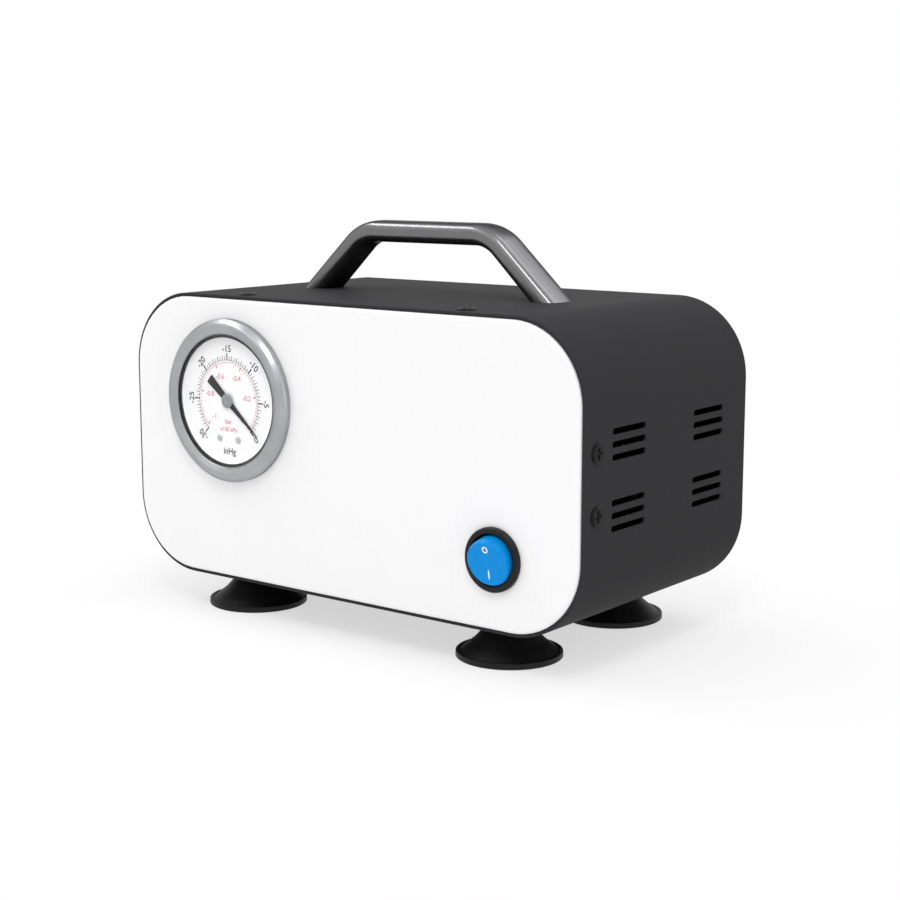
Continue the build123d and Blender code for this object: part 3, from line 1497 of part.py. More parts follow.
# Shaft, rotor and fan
eccentric_left = crank_left + CRANK_WALL + ECCENTRIC_GAP
fan_right = MOTOR_END_X - FAN_GAP
shaft_left = fan_right - FAN_T
with BuildPart() as motor_shaft:
    extrude(
        disc(Plane.YZ.offset(shaft_left), SHAFT_R, (AXIS_Y, AXIS_Z)),
        amount=eccentric_left + ECCENTRIC_T - shaft_left,
    )
motor_shaft.part.label = "motor_shaft"

with BuildPart() as motor_rotor:
    rotor_left = (can_left + can_right) / 2 - ROTOR_L / 2
    with BuildSketch(Plane.YZ.offset(rotor_left)):
        with Locations((AXIS_Y, AXIS_Z)):
            RegularPolygon(ROTOR_R, HOUSING_SIDES)
            RegularPolygon(
                SHAFT_R + SEAT / 2, ROUND_SIDES, major_radius=False, mode=Mode.SUBTRACT
            )
            with PolarLocations(ROTOR_R, ROTOR_SLOTS):
                Rectangle(2 * ROTOR_SLOT_D, ROTOR_SLOT_W, mode=Mode.SUBTRACT)
    extrude(amount=ROTOR_L)
motor_rotor.part.label = "motor_rotor"

with BuildPart() as motor_fan:
    extrude(
        disc(Plane.YZ.offset(shaft_left), FAN_HUB_R, (AXIS_Y, AXIS_Z)),
        amount=FAN_T,
    )
    for blade in range(FAN_BLADES):
        blade_turn = 2 * math.pi * blade / FAN_BLADES
        blade_plane = Plane(
            origin=(shaft_left + FAN_T / 2, AXIS_Y, AXIS_Z),
            x_dir=(1, 0, 0),
            z_dir=(0, math.cos(blade_turn), math.sin(blade_turn)),
        )
        with BuildSketch(blade_plane.offset(FAN_HUB_R * 0.85)):
            Rectangle(FAN_T, BLADE_T, rotation=BLADE_ROOT_TURN)
        with BuildSketch(blade_plane.offset(FAN_R)):
            Rectangle(FAN_T, BLADE_T, rotation=BLADE_TIP_TURN)
        loft(ruled=True)
    extrude(
        hole(Plane.YZ.offset(shaft_left), SHAFT_R + SEAT / 2, (AXIS_Y, AXIS_Z)),
        amount=FAN_T,
        mode=Mode.SUBTRACT,
    )
motor_fan.part.label = "motor_fan"

# Eccentric: hub and counterweight on the shaft, and the crank pin below it at bottom dead centre
with BuildPart() as eccentric:
    with BuildSketch(Plane.YZ.offset(eccentric_left)):
        with Locations((AXIS_Y, AXIS_Z)):
            RegularPolygon(COUNTERWEIGHT_R, HOUSING_SIDES)
            with Locations((0, -COUNTERWEIGHT_R / 2 - ECCENTRIC_CUT)):
                Rectangle(2 * COUNTERWEIGHT_R, COUNTERWEIGHT_R, mode=Mode.SUBTRACT)
            RegularPolygon(ECCENTRIC_HUB_R, ROUND_SIDES)
    extrude(amount=ECCENTRIC_T)
    shoulder_left = eccentric_left + ECCENTRIC_T
    extrude(
        disc(Plane.YZ.offset(shoulder_left), CRANK_SHOULDER_R, (AXIS_Y, PIN_Z)),
        amount=pin_left - shoulder_left,
    )
    extrude(disc(Plane.YZ.offset(pin_left), CRANK_PIN_R, (AXIS_Y, PIN_Z)), amount=ROD_BEARING_T)
    extrude(
        hole(Plane.YZ.offset(eccentric_left), SHAFT_R + SEAT / 2, (AXIS_Y, AXIS_Z)),
        amount=ECCENTRIC_T,
        mode=Mode.SUBTRACT,
    )
eccentric.part.label = "eccentric"

# Connecting rod: its eye holds the bearing, and its head plate carries the diaphragm
rod_plate_z = DIAPHRAGM_Z - THROW
with BuildPart() as rod_bearing_ring:
    with BuildSketch(Plane.YZ.offset(pin_left)):
        with Locations((AXIS_Y, PIN_Z)):
            RegularPolygon(ROD_BEARING_R, ROUND_SIDES)
            RegularPolygon(rod_split + RUN, ROUND_SIDES, major_radius=False, mode=Mode.SUBTRACT)
    extrude(amount=ROD_BEARING_T)
rod_bearing_ring.part.label = "rod_bearing_ring"

with BuildPart() as connecting_rod:
    with BuildSketch(Plane.YZ.offset(ROD_X - ROD_T / 2)):
        with Locations((AXIS_Y, PIN_Z)):
            RegularPolygon(ROD_EYE_R, HOUSING_SIDES)
        with Locations((AXIS_Y, (PIN_Z + rod_plate_z) / 2)):
            Rectangle(ROD_W, rod_plate_z - PIN_Z)
        with Locations((AXIS_Y, PIN_Z)):
            RegularPolygon(
                ROD_BEARING_R + SEAT, ROUND_SIDES, major_radius=False, mode=Mode.SUBTRACT
            )
    extrude(amount=ROD_T)
    extrude(
        disc(Plane.XY.offset(rod_plate_z - ROD_PLATE_T), ROD_PLATE_R, (CRANK_X, AXIS_Y)),
        amount=ROD_PLATE_T,
    )
    extrude(
        hole(Plane.XY.offset(rod_plate_z), REAR_SCREW_R + SEAT, (CRANK_X, AXIS_Y)),
        amount=-CLAMP_STUD_L,
        mode=Mode.SUBTRACT,
    )
connecting_rod.part.label = "connecting_rod"

# Diaphragm: a dished rubber disc, clamped at its rim and at its middle
dish_base = Plane(origin=(CRANK_X, AXIS_Y, DIAPHRAGM_Z), z_dir=(0, 0, 1))
dish_rim_r = DIAPHRAGM_WORK_R - DISH_EDGE
with BuildPart() as diaphragm:
    stack(Mode.ADD, HOUSING_SIDES, dish_base, (DISH_R, -THROW), (dish_rim_r, 0))
    stack(
        Mode.ADD, HOUSING_SIDES, dish_base, (DIAPHRAGM_R, 0), (DIAPHRAGM_R, DIAPHRAGM_T)
    )
    stack(
        Mode.SUBTRACT,
        HOUSING_SIDES,
        dish_base,
        (DISH_R - DISH_EDGE, DIAPHRAGM_T - THROW),
        (dish_rim_r - DISH_EDGE, DIAPHRAGM_T),
    )
    extrude(
        hole(dish_base.offset(-THROW), REAR_SCREW_R + SEAT, (0, 0)),
        amount=DIAPHRAGM_T,
        mode=Mode.SUBTRACT,
    )
diaphragm.part.label = "diaphragm"

clamp_z = rod_plate_z + DIAPHRAGM_T
with BuildPart() as clamp_disc:
    extrude(disc(Plane.XY.offset(clamp_z), ROD_PLATE_R, (CRANK_X, AXIS_Y)), amount=CLAMP_T)
    extrude(
        disc(Plane.XY.offset(clamp_z), REAR_SCREW_R, (CRANK_X, AXIS_Y)),
        amount=-(DIAPHRAGM_T + CLAMP_STUD_L - CLAMP_STUD_GAP),
    )
clamp_disc.part.label = "clamp_disc"

# Head: valve plate with the pumping chamber under it, two umbrella valves, gasket and cover
valve_places = [(CRANK_X - VALVE_X, AXIS_Y), (CRANK_X + VALVE_X, AXIS_Y)]
chamber_top = DECK_Z + CHAMBER_H
seat_drop = VALVE_T + VALVE_LIFT
flow_holes = [
    (vx + FLOW_RING_R * math.cos(a), vy + FLOW_RING_R * math.sin(a))
    for vx, vy in valve_places
    for a in (math.radians(45 + 90 * k) for k in range(4))
]
with BuildPart() as valve_plate:
    extrude(
        slab(Plane.XY.offset(DECK_Z), CRANK_FLANGE_W, CRANK_FLANGE_W, HEAD_R, (CRANK_X, AXIS_Y)),
        amount=CHAMBER_H + VALVE_WEB,
    )
    extrude(
        hole(Plane.XY.offset(DECK_Z), DIAPHRAGM_WORK_R, (CRANK_X, AXIS_Y)),
        amount=CHAMBER_H,
        mode=Mode.SUBTRACT,
    )
    extrude(
        hole(Plane.XY.offset(chamber_top), VALVE_R + 1, valve_places[0]),
        amount=seat_drop,
        mode=Mode.SUBTRACT,
    )
    extrude(
        hole(Plane.XY.offset(HEAD_Z), VALVE_R + 1, valve_places[1]),
        amount=-seat_drop,
        mode=Mode.SUBTRACT,
    )
    extrude(
        disc(Plane.XY.offset(chamber_top), FLOW_HOLE_R, *flow_holes),
        amount=VALVE_WEB,
        mode=Mode.SUBTRACT,
    )
    extrude(
        hole(Plane.XY.offset(chamber_top), VALVE_STEM_R + SEAT, *valve_places),
        amount=VALVE_WEB,
        mode=Mode.SUBTRACT,
    )
    extrude(
        hole(Plane.XY.offset(DECK_Z), STUD_R + SEAT, *head_bolt_places),
        amount=CHAMBER_H + VALVE_WEB,
        mode=Mode.SUBTRACT,
    )
valve_plate.part.label = "valve_plate"

with BuildPart() as umbrella_valves:
    extrude(
        disc(Plane.XY.offset(chamber_top + seat_drop), VALVE_R, valve_places[0]),
        amount=-VALVE_T,
    )
    extrude(
        disc(Plane.XY.offset(HEAD_Z - seat_drop), VALVE_R, valve_places[1]), amount=VALVE_T
    )
    extrude(
        disc(Plane.XY.offset(chamber_top + seat_drop), VALVE_STEM_R, valve_places[0]),
        amount=VALVE_WEB - seat_drop,
    )
    extrude(
        disc(Plane.XY.offset(HEAD_Z - seat_drop), VALVE_STEM_R, valve_places[1]),
        amount=seat_drop - VALVE_WEB,
    )
umbrella_valves.part.label = "umbrella_valves"

pocket_d = 2 * (HEAD_BOLT - STUD_R - POCKET_LAND)
pocket_places = [(CRANK_X + sx * (VALVE_X + POCKET_OUT), AXIS_Y) for sx in (-1, 1)]
with BuildPart() as head_gasket:
    with BuildSketch(Plane.XY.offset(HEAD_Z)):
        with Locations((CRANK_X, AXIS_Y)):
            RectangleRounded(CRANK_FLANGE_W, CRANK_FLANGE_W, HEAD_R)
        with Locations(*pocket_places):
            Rectangle(POCKET_W, pocket_d, mode=Mode.SUBTRACT)
        with Locations(*head_bolt_places):
            RegularPolygon(STUD_R + SEAT, SHANK_SIDES, major_radius=False, mode=Mode.SUBTRACT)
    extrude(amount=GASKET_T)
head_gasket.part.label = "head_gasket"

with BuildPart() as head_cover:
    extrude(
        slab(Plane.XY.offset(COVER_Z), CRANK_FLANGE_W, CRANK_FLANGE_W, HEAD_R, (CRANK_X, AXIS_Y)),
        amount=HEAD_COVER_T,
    )
    with BuildSketch(Plane.XY.offset(COVER_Z)):
        with Locations(*pocket_places):
            Rectangle(POCKET_W, pocket_d)
    extrude(amount=HEAD_COVER_T - HEAD_WALL + 1, mode=Mode.SUBTRACT)
    extrude(disc(Plane.YZ.offset(HEAD_LEFT), STEM_R, (PORT_Y, PORT_Z)), amount=-STEM_L)
    exhaust_y = AXIS_Y - HEAD_PORT_BACK
    extrude(disc(Plane.YZ.offset(HEAD_RIGHT), STEM_R, (exhaust_y, PORT_Z)), amount=STEM_L)
    extrude(
        disc(Plane.YZ.offset(HEAD_LEFT - STEM_L), STEM_BORE_R, (PORT_Y, PORT_Z)),
        amount=STEM_L + 16,
        mode=Mode.SUBTRACT,
    )
    extrude(
        disc(Plane.YZ.offset(HEAD_RIGHT + STEM_L), STEM_BORE_R, (exhaust_y, PORT_Z)),
        amount=-STEM_L - 16,
        mode=Mode.SUBTRACT,
    )
    extrude(
        hole(Plane.XY.offset(COVER_Z), STUD_R + SEAT, *head_bolt_places),
        amount=HEAD_COVER_T,
        mode=Mode.SUBTRACT,
    )
head_cover.part.label = "head_cover"

head_bolt_l = HEAD_COVER_T + GASKET_T + VALVE_WEB + CHAMBER_H + CRANK_FLANGE_T - 1
with BuildPart() as head_bolts:
    extrude(
        disc(Plane.XY.offset(COVER_Z + HEAD_COVER_T), NUT_AF / 2, *head_bolt_places),
        amount=HEAD_BOLT_HEAD_H,
    )
    extrude(
        disc(Plane.XY.offset(COVER_Z + HEAD_COVER_T), STUD_R, *head_bolt_places),
        amount=-head_bolt_l,
    )
head_bolts.part.label = "head_bolts"

# Power board on standoffs, with its larger parts
board_z = BASE_TOP + STANDOFF_H
board_top = board_z + BOARD_T
with BuildPart() as board_standoffs:
    with BuildSketch(Plane.XY.offset(BASE_TOP)):
        with Locations(*board_screw_places):
            RegularPolygon(STANDOFF_R, 6, major_radius=False)
            RegularPolygon(REAR_SCREW_R + SEAT, 6, major_radius=False, mode=Mode.SUBTRACT)
    extrude(amount=STANDOFF_H)
board_standoffs.part.label = "board_standoffs"

with BuildPart() as power_board:
    with BuildSketch(Plane.XY.offset(board_z)):
        with Locations((BOARD_X, board_y)):
            Rectangle(BOARD_L, BOARD_W)
        with Locations(*board_screw_places):
            RegularPolygon(REAR_SCREW_R + SEAT, 6, major_radius=False, mode=Mode.SUBTRACT)
    extrude(amount=BOARD_T)
power_board.part.label = "power_board"

with BuildPart() as board_components:
    with BuildSketch(Plane.XY.offset(board_top)):
        with Locations((BOARD_X, board_y)):
            Rectangle(CORE_W, CORE_D)
    extrude(amount=CORE_H)
    extrude(
        disc(Plane.XY.offset(board_top), CAPACITOR_R, (BOARD_X - CAPACITOR_X, board_y)),
        amount=CAPACITOR_H,
    )
    small_capacitor_places = [
        (BOARD_X + SMALL_CAPACITOR_X, board_y + sy * SMALL_CAPACITOR_Y) for sy in (-1, 1)
    ]
    extrude(
        disc(Plane.XY.offset(board_top), SMALL_CAPACITOR_R, *small_capacitor_places),
        amount=SMALL_CAPACITOR_H,
    )
    with BuildSketch(Plane.XY.offset(board_top)):
        with Locations((BOARD_X + SINK_X, board_y)):
            Rectangle(SINK_T, CORE_D)
            with GridLocations(0, SINK_PITCH, 1, SINK_FINS):
                with Locations((FIN_X, 0)):
                    Rectangle(FIN_L, FIN_T)
    extrude(amount=CORE_H)
board_components.part.label = "board_components"

# Small screws: rear panel, mains inlet, motor to crankcase, and power board
small_screw_rows = [
    (facing_front(REAR_FACE), post_places, REAR_SCREW_L),
    (facing_front(inlet_front), inlet_screw_places, INLET_T + REAR_T + SMALL_NUT_H + 1),
    (
        Plane(
            origin=(crank_left + CRANK_WALL - SMALL_HEAD_H, 0, 0), x_dir=(0, 1, 0), z_dir=(-1, 0, 0)
        ),
        [(y, -z) for y, z in motor_screw_places],
        MOTOR_CAP_T + CRANK_WALL - SMALL_HEAD_H - SEAT,
    ),
    (Plane.XY.offset(board_top), board_screw_places, BOARD_T + STANDOFF_H),
]
with BuildPart() as small_screws:
    for seat, places, grip in small_screw_rows:
        inward = -1 if seat.z_dir.Z > 0.5 else 1
        extrude(disc(seat, REAR_SCREW_HEAD_R, *places), amount=-inward * SMALL_HEAD_H)
        extrude(disc(seat, REAR_SCREW_R, *places), amount=inward * grip)
small_screws.part.label = "small_screws"

# Sector under the pinion: a plain fan on its own spindle, with room to turn
sector_plane = Plane(
    origin=(GAUGE_X, FRONT_Y + gear_depth + SECTOR_BACK, GAUGE_Z - sector_down),
    x_dir=(1, 0, 0),
    z_dir=(0, -1, 0),
)
sector_rim = SECTOR_R - RUN
rim_points = [
    (sector_rim * math.sin(math.radians(a)), sector_rim * math.cos(math.radians(a)))
    for a in (-SECTOR_HALF, -SECTOR_HALF / 2, 0, SECTOR_HALF / 2, SECTOR_HALF)
]
with BuildPart() as gauge_sector:
    with BuildSketch(sector_plane):
        with BuildLine():
            Polyline((0, 0), *rim_points, close=True)
        make_face()
        RegularPolygon(SECTOR_HUB_R, ROUND_SIDES)
    extrude(amount=-SECTOR_T)
    extrude(
        disc(facing_front(MOVEMENT_FRONT + SEAT), ARBOR_R, sector_pivot),
        amount=-(movement_back + MOVEMENT_PLATE_T - MOVEMENT_FRONT - 2 * SEAT),
    )
gauge_sector.part.label = "gauge_sector"

PIECES = [
    shell,
    front_panel,
    rear_panel,
    panel_screws,
    base_plate,
    suction_feet,
    studs,
    nuts,
    large_screws,
    small_screws,
    handle,
    gauge_case,
    gauge_bezel,
    gauge_lens,
    gauge_ring,
    gauge_dial,
    gauge_dial_screws,
    gauge_pointer,
    gauge_arbor,
    gauge_sector,
    gauge_movement,
    gauge_socket,
    bourdon_tube,
    switch_body,
    switch_terminals,
    rocker_button,
    inlet_socket,
    inlet_pins,
    fuse_drawer,
    fuse,
    port_fittings,
    exhaust_nut,
    manifold,
    hoses,
    isolators,
    pump_bracket,
    crankcase,
    crank_cover,
    motor_can,
    motor_magnets,
    motor_caps,
    bearing_outer_rings,
    bearing_inner_rings,
    motor_shaft,
    motor_rotor,
    motor_fan,
    eccentric,
    rod_bearing_ring,
    connecting_rod,
    diaphragm,
    clamp_disc,
    valve_plate,
    umbrella_valves,
    head_gasket,
    head_cover,
    head_bolts,
    board_standoffs,
    power_board,
    board_components,
]
for piece in PIECES:
    export_step(piece.part, f"parts/{piece.part.label}.step")
print(len(PIECES), "pieces")
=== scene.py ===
"""Dresses a small bench vacuum pump: smooth, softened pieces and real finishes.

Everything is in metres in the frame's own axes: +X to the right of someone facing the front,
-Y out of the front and +Z up. Dataclass fields are millimetres, because the maker's drawing is.
"""

from __future__ import annotations

import json
import logging
import math
from collections.abc import Callable
from dataclasses import dataclass
from enum import Enum
from typing import NamedTuple

import bmesh
import bpy
import numpy as np
from mathutils import Euler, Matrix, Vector
from mathutils.geometry import tessellate_polygon

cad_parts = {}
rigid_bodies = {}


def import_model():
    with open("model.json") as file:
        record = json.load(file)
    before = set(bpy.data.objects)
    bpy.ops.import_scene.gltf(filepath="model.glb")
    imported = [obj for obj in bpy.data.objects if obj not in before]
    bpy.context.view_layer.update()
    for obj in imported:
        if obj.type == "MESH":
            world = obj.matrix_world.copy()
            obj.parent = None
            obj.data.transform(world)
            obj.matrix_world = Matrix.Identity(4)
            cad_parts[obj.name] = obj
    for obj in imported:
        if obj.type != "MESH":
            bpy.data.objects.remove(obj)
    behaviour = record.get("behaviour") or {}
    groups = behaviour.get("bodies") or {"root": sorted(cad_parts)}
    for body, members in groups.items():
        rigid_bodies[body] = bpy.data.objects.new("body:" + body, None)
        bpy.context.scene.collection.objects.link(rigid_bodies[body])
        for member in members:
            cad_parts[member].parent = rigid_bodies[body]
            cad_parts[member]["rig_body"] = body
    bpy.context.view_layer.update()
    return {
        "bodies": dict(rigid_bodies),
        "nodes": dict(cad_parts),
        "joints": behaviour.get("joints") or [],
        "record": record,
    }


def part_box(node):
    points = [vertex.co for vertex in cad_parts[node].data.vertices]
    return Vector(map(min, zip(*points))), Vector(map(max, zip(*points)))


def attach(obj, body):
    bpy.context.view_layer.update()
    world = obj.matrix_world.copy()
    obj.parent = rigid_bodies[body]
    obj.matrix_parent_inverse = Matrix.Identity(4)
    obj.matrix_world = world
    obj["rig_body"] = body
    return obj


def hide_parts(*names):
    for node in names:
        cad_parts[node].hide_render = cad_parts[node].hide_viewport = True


LOG = logging.getLogger("bench_pump")
MM = 0.001
WHITE = (1.0, 1.0, 1.0, 1.0)
# Numbers of a colour mix's sockets
MIX_COLOUR_A, MIX_COLOUR_B, MIX_COLOUR_OUT = 6, 7, 2
# Lowest roughness of any finish
GLOSSIEST = 0.02
# How much shorter a drawn streak's unevenness is along the streak than across it
STREAK_SHARE = 0.04
# How much the depth counts beside the radius in a spun ring
RING_DEPTH_SHARE = 0.35
# Size in millimetres of the clouds on spun metal, and their share of the pattern
CLOUD_SIZE, CLOUD_SHARE = 9.0, 0.55
# Signs across and up of an outline's corners, anticlockwise
CORNER_SIGNS = ((1, 1), (-1, 1), (-1, -1), (1, -1))


# Colour and shader nodes


def linear(hex_colour: str) -> tuple[float, float, float, float]:
    """Turns an sRGB hex colour into the linear colour that shaders take.

    Args:
        hex_colour: Six hex digits with a leading hash.

    Returns:
        Red, green, blue and alpha, from 0 to 1.
    """
    coded = np.array([int(hex_colour[i : i + 2], 16) for i in (1, 3, 5)]) / 255
    light = np.where(coded <= 0.04045, coded / 12.92, ((coded + 0.055) / 1.055) ** 2.4)
    return (*light.tolist(), 1.0)


def add_node(
    tree: bpy.types.NodeTree,
    kind: str,
    settings: dict[str | int, object],
    links: dict[str | int, bpy.types.NodeSocket],
) -> bpy.types.Node:
    """Adds one shader node, with its settings and what is plugged into it.

    Args:
        tree: The node tree of a material or of the world.
        kind: Blender's name of the node type, after its prefix.
        settings: Attribute values, or socket values where the name or number is an input's.
        links: Output sockets to plug in, by the input's name or number.

    Returns:
        The new node.
    """
    node = tree.nodes.new(f"ShaderNode{kind}")
    for name, value in settings.items():
        if isinstance(name, int) or name in node.inputs:
            node.inputs[name].default_value = value
        else:
            setattr(node, name, value)
    for where, output in links.items():
        tree.links.new(output, node.inputs[where])
    return node


def named_material(
    title: str, wire: Callable[[bpy.types.NodeTree], bpy.types.NodeSocket]
) -> bpy.types.Material:
    """Gives the material of a name, made on its first use.

    Args:
        title: The material's name.
        wire: Adds the material's nodes to its empty tree, and gives their surface.

    Returns:
        The material.
    """
    made = bpy.data.materials.get(title)
    if made is None:
        made = bpy.data.materials.new(title)
        made.use_nodes = True
        made.node_tree.nodes.clear()
        surface = wire(made.node_tree)
        add_node(made.node_tree, "OutputMaterial", {}, {"Surface": surface})
    return made


class Pattern(Enum):
    """How a finish's fine unevenness runs."""

    MOTTLE = "even in all directions"
    SPUN = "in rings about an axis that runs front to back"
    DRAWN = "in long streaks across the pump"
    CAST = "in blunt pits, as a casting's skin"


@dataclass(frozen=True)
class Finish:
    """A surface finish: two close tones, gloss that wanders a little, and fine relief.

    Sizes are real millimetres. Where the true grain is finer than the render can show, the finish's
    comment says that it is drawn coarser.
    """

    title: str
    colour: str
    second: str
    metallic: float = 0.0
    roughness: float = 0.5
    wander: float = 0.08
    grain: float = 1.0
    relief: float = 0.004
    pattern: Pattern = Pattern.MOTTLE
    sockets: tuple[tuple[str, float | tuple[float, ...]], ...] = ()
    about: tuple[float, float] = (0.0, 0.0)

    def material(self) -> bpy.types.Material:
        """Gives the finish's material, made on its first use.

        Returns:
            The material.
        """
        made = named_material(self.title, self._surface)
        made.diffuse_color = linear(self.colour)
        return made

    def _surface(self, tree: bpy.types.NodeTree) -> bpy.types.NodeSocket:
        """Wires the finish, whose pattern sets the tone, the gloss and the relief together.

        Args:
            tree: The material's node tree.

        Returns:
            The surface.
        """
        height = self._unevenness(tree)
        tones = {
            "data_type": "RGBA",
            MIX_COLOUR_A: linear(self.colour),
            MIX_COLOUR_B: linear(self.second),
        }
        tone = add_node(tree, "Mix", tones, {0: height}).outputs[MIX_COLOUR_OUT]
        limits = {
            "To Min": max(self.roughness - self.wander, GLOSSIEST),
            "To Max": min(self.roughness + self.wander, 1.0),
        }
        gloss = add_node(tree, "MapRange", limits, {"Value": height}).outputs[0]
        raised = {"Strength": 1.0, "Distance": self.relief * MM}
        bump = add_node(tree, "Bump", raised, {"Height": height}).outputs[0]
        body = {"Metallic": self.metallic, **dict(self.sockets)}
        plugs = {"Base Color": tone, "Roughness": gloss, "Normal": bump}
        return add_node(tree, "BsdfPrincipled", body, plugs).outputs[0]

    def _unevenness(self, tree: bpy.types.NodeTree) -> bpy.types.NodeSocket:
        """Adds the finish's pattern, a value from 0 to 1 that follows the piece.

        Args:
            tree: The material's node tree.

        Returns:
            The output that carries the pattern.
        """
        place = add_node(tree, "TexCoord", {}, {}).outputs["Object"]
        noise = {"Detail": 3.0, "Roughness": 0.6, "Scale": 1 / (self.grain * MM)}
        if self.pattern is Pattern.SPUN:
            return self._spun(tree, place, noise)
        if self.pattern is Pattern.DRAWN:
            stretch = {"Scale": (STREAK_SHARE, 1.0, 1.0)}
            place = add_node(tree, "Mapping", stretch, {"Vector": place}).outputs[0]
        if self.pattern is Pattern.CAST:
            cells = {"feature": "SMOOTH_F1", "Scale": noise["Scale"]}
            return add_node(tree, "TexVoronoi", cells, {"Vector": place}).outputs["Distance"]
        return add_node(tree, "TexNoise", noise, {"Vector": place}).outputs[0]

    def _spun(
        self,
        tree: bpy.types.NodeTree,
        place: bpy.types.NodeSocket,
        noise: dict[str, float],
    ) -> bpy.types.NodeSocket:
        """Adds rings about the finish's axis, clouded as a handled surface is.

        Args:
            tree: The material's node tree.
            place: Where each point lies.
            noise: Settings of the rings' noise.

        Returns:
            The output that carries the pattern.
        """
        axis = (self.about[0] * MM, 0.0, self.about[1] * MM)
        away = add_node(tree, "VectorMath", {"operation": "SUBTRACT", 1: axis}, {0: place})
        flatten = {"operation": "MULTIPLY", 1: (1.0, RING_DEPTH_SHARE, 1.0)}
        flat = add_node(tree, "VectorMath", flatten, {0: away.outputs[0]})
        reach = add_node(tree, "VectorMath", {"operation": "LENGTH"}, {0: flat.outputs[0]})
        line = {"noise_dimensions": "1D", **noise}
        rings = add_node(tree, "TexNoise", line, {"W": reach.outputs["Value"]})
        blots = {"Detail": 4.0, "Scale": 1 / (CLOUD_SIZE * MM)}
        clouds = add_node(tree, "TexNoise", blots, {"Vector": place})
        both = {2: rings.outputs[0], 3: clouds.outputs[0]}
        return add_node(tree, "Mix", {"Factor": CLOUD_SHARE}, both).outputs[0]


# Powder coat, cured to a fine orange peel: nearly matt, with a grain drawn at twice its size
POWDER_COAT = Finish(
    "powder_coat_on_steel", "#333334", "#39393b", 0.0, 0.62, 0.05, 0.9, 0.012,
    sockets=(("Specular IOR Level", 0.02),),
)
# Injection-moulded ABS, semi-gloss: clean white with a broad, barely seen waviness
WHITE_ABS = Finish(
    "moulded_white_abs", "#f7f6f7", "#f4f3f4", 0.0, 0.32, 0.03, 6.0, 0.004,
    sockets=(("IOR", 1.54), ("Specular IOR Level", 0.35)),
)
# Die-cast zinc, bead-blasted and satin chromed: a grey metal with a soft blur in its highlights
SATIN_CASTING = Finish(
    "satin_die_casting", "#747475", "#7c7c7d", 1.0, 0.27, 0.03, 7.0, 0.001,
    sockets=(("Specular Tint", (0.24, 0.24, 0.25, 1.0)),),
)
# Stainless steel spun over a form: fine rings round its axis, drawn at a quarter of a millimetre
SPUN_STEEL = Finish(
    "spun_stainless_steel", "#8a8c8f", "#c6c8ca", 1.0, 0.33, 0.10, 0.28, 0.006,
    pattern=Pattern.SPUN, about=(-54.7, 84.9),
    sockets=(("Specular Tint", (0.6, 0.6, 0.62, 1.0)),),
)
# Black nitrile rubber, moulded: dull, with a slight bloom on its rims
FOOT_RUBBER = Finish(
    "moulded_black_rubber", "#0d0c0e", "#131214", 0.0, 0.52, 0.08, 1.4, 0.010,
    sockets=(("Specular IOR Level", 0.22),),
)
# Nylon with a spark-eroded texture: black, half glossy
BLACK_NYLON = Finish(
    "moulded_black_nylon", "#0f0f11", "#151517", 0.0, 0.40, 0.06, 0.8, 0.006,
    sockets=(("Specular IOR Level", 0.25),),
)
# Dyed polycarbonate, polished mould: saturated blue with a clear gloss
BLUE_POLYCARBONATE = Finish(
    "polished_blue_polycarbonate", "#0a90e0", "#098ad8", 0.0, 0.24, 0.03, 3.0, 0.003,
    sockets=(("Specular IOR Level", 0.09),),
)
# Stove enamel on the dial: white with a cool cast, smooth
DIAL_ENAMEL = Finish(
    "white_dial_enamel", "#ffffff", "#fdfdff", 0.0, 0.38, 0.04, 5.0, 0.002,
)
# Screen-printed inks, with slightly uneven cover
BLACK_INK = Finish("black_printing_ink", "#08080b", "#101013", 0.0, 0.5, 0.05, 0.4, 0.001)
RED_INK = Finish("red_printing_ink", "#d23a5a", "#da4f6c", 0.0, 0.5, 0.05, 0.4, 0.001)
PALE_RED_INK = Finish("pale_red_printing_ink", "#e08a9b", "#e699a8", 0.0, 0.5, 0.05, 0.4, 0.001)
WHITE_INK = Finish("white_printing_ink", "#f4f8fb", "#e9f0f5", 0.0, 0.42, 0.05, 0.4, 0.001)
# Matt black lacquer on the pointer
POINTER_LACQUER = Finish(
    "matt_black_lacquer", "#08080a", "#0f0f12", 0.0, 0.5, 0.06, 0.6, 0.002,
    sockets=(("Specular IOR Level", 0.2),),
)
# Turned nickel silver: the pointer's hub
TURNED_HUB = Finish(
    "turned_nickel_silver", "#8f9092", "#a5a6a8", 1.0, 0.34, 0.08, 0.2, 0.003,
    pattern=Pattern.SPUN, about=(-54.7, 84.9),
)
# Zinc plate, clear passivated: pale grey with cloudy gloss
ZINC_PLATE = Finish("clear_zinc_plate", "#b4b6b8", "#a2a5a8", 1.0, 0.32, 0.10, 2.5, 0.003)
# Black oxide on screw heads: near black, slightly oily
BLACK_OXIDE = Finish(
    "black_oxide_steel", "#0a0a0b", "#111113", 0.0, 0.40, 0.08, 1.0, 0.004,
    sockets=(("Specular IOR Level", 0.12),),
)
# Nickel plate on turned brass: bright, faintly warm
NICKEL_PLATE = Finish("nickel_plated_brass", "#c9c5bc", "#bcb8ae", 1.0, 0.20, 0.05, 1.5, 0.002)
# Plain turned brass
BRASS = Finish("turned_brass", "#c9a24f", "#b8913f", 1.0, 0.30, 0.08, 0.8, 0.003)
# Ground and polished bearing steel
BEARING_STEEL = Finish("ground_bearing_steel", "#c3c4c6", "#cdced0", 1.0, 0.16, 0.05, 0.8, 0.001)
# Pressure-cast aluminium, as cast: light grey skin with blunt pits, drawn at twice their size
CAST_ALUMINIUM = Finish(
    "cast_aluminium_skin", "#b2b3b4", "#9c9d9f", 1.0, 0.46, 0.10, 1.6, 0.020,
    pattern=Pattern.CAST,
)
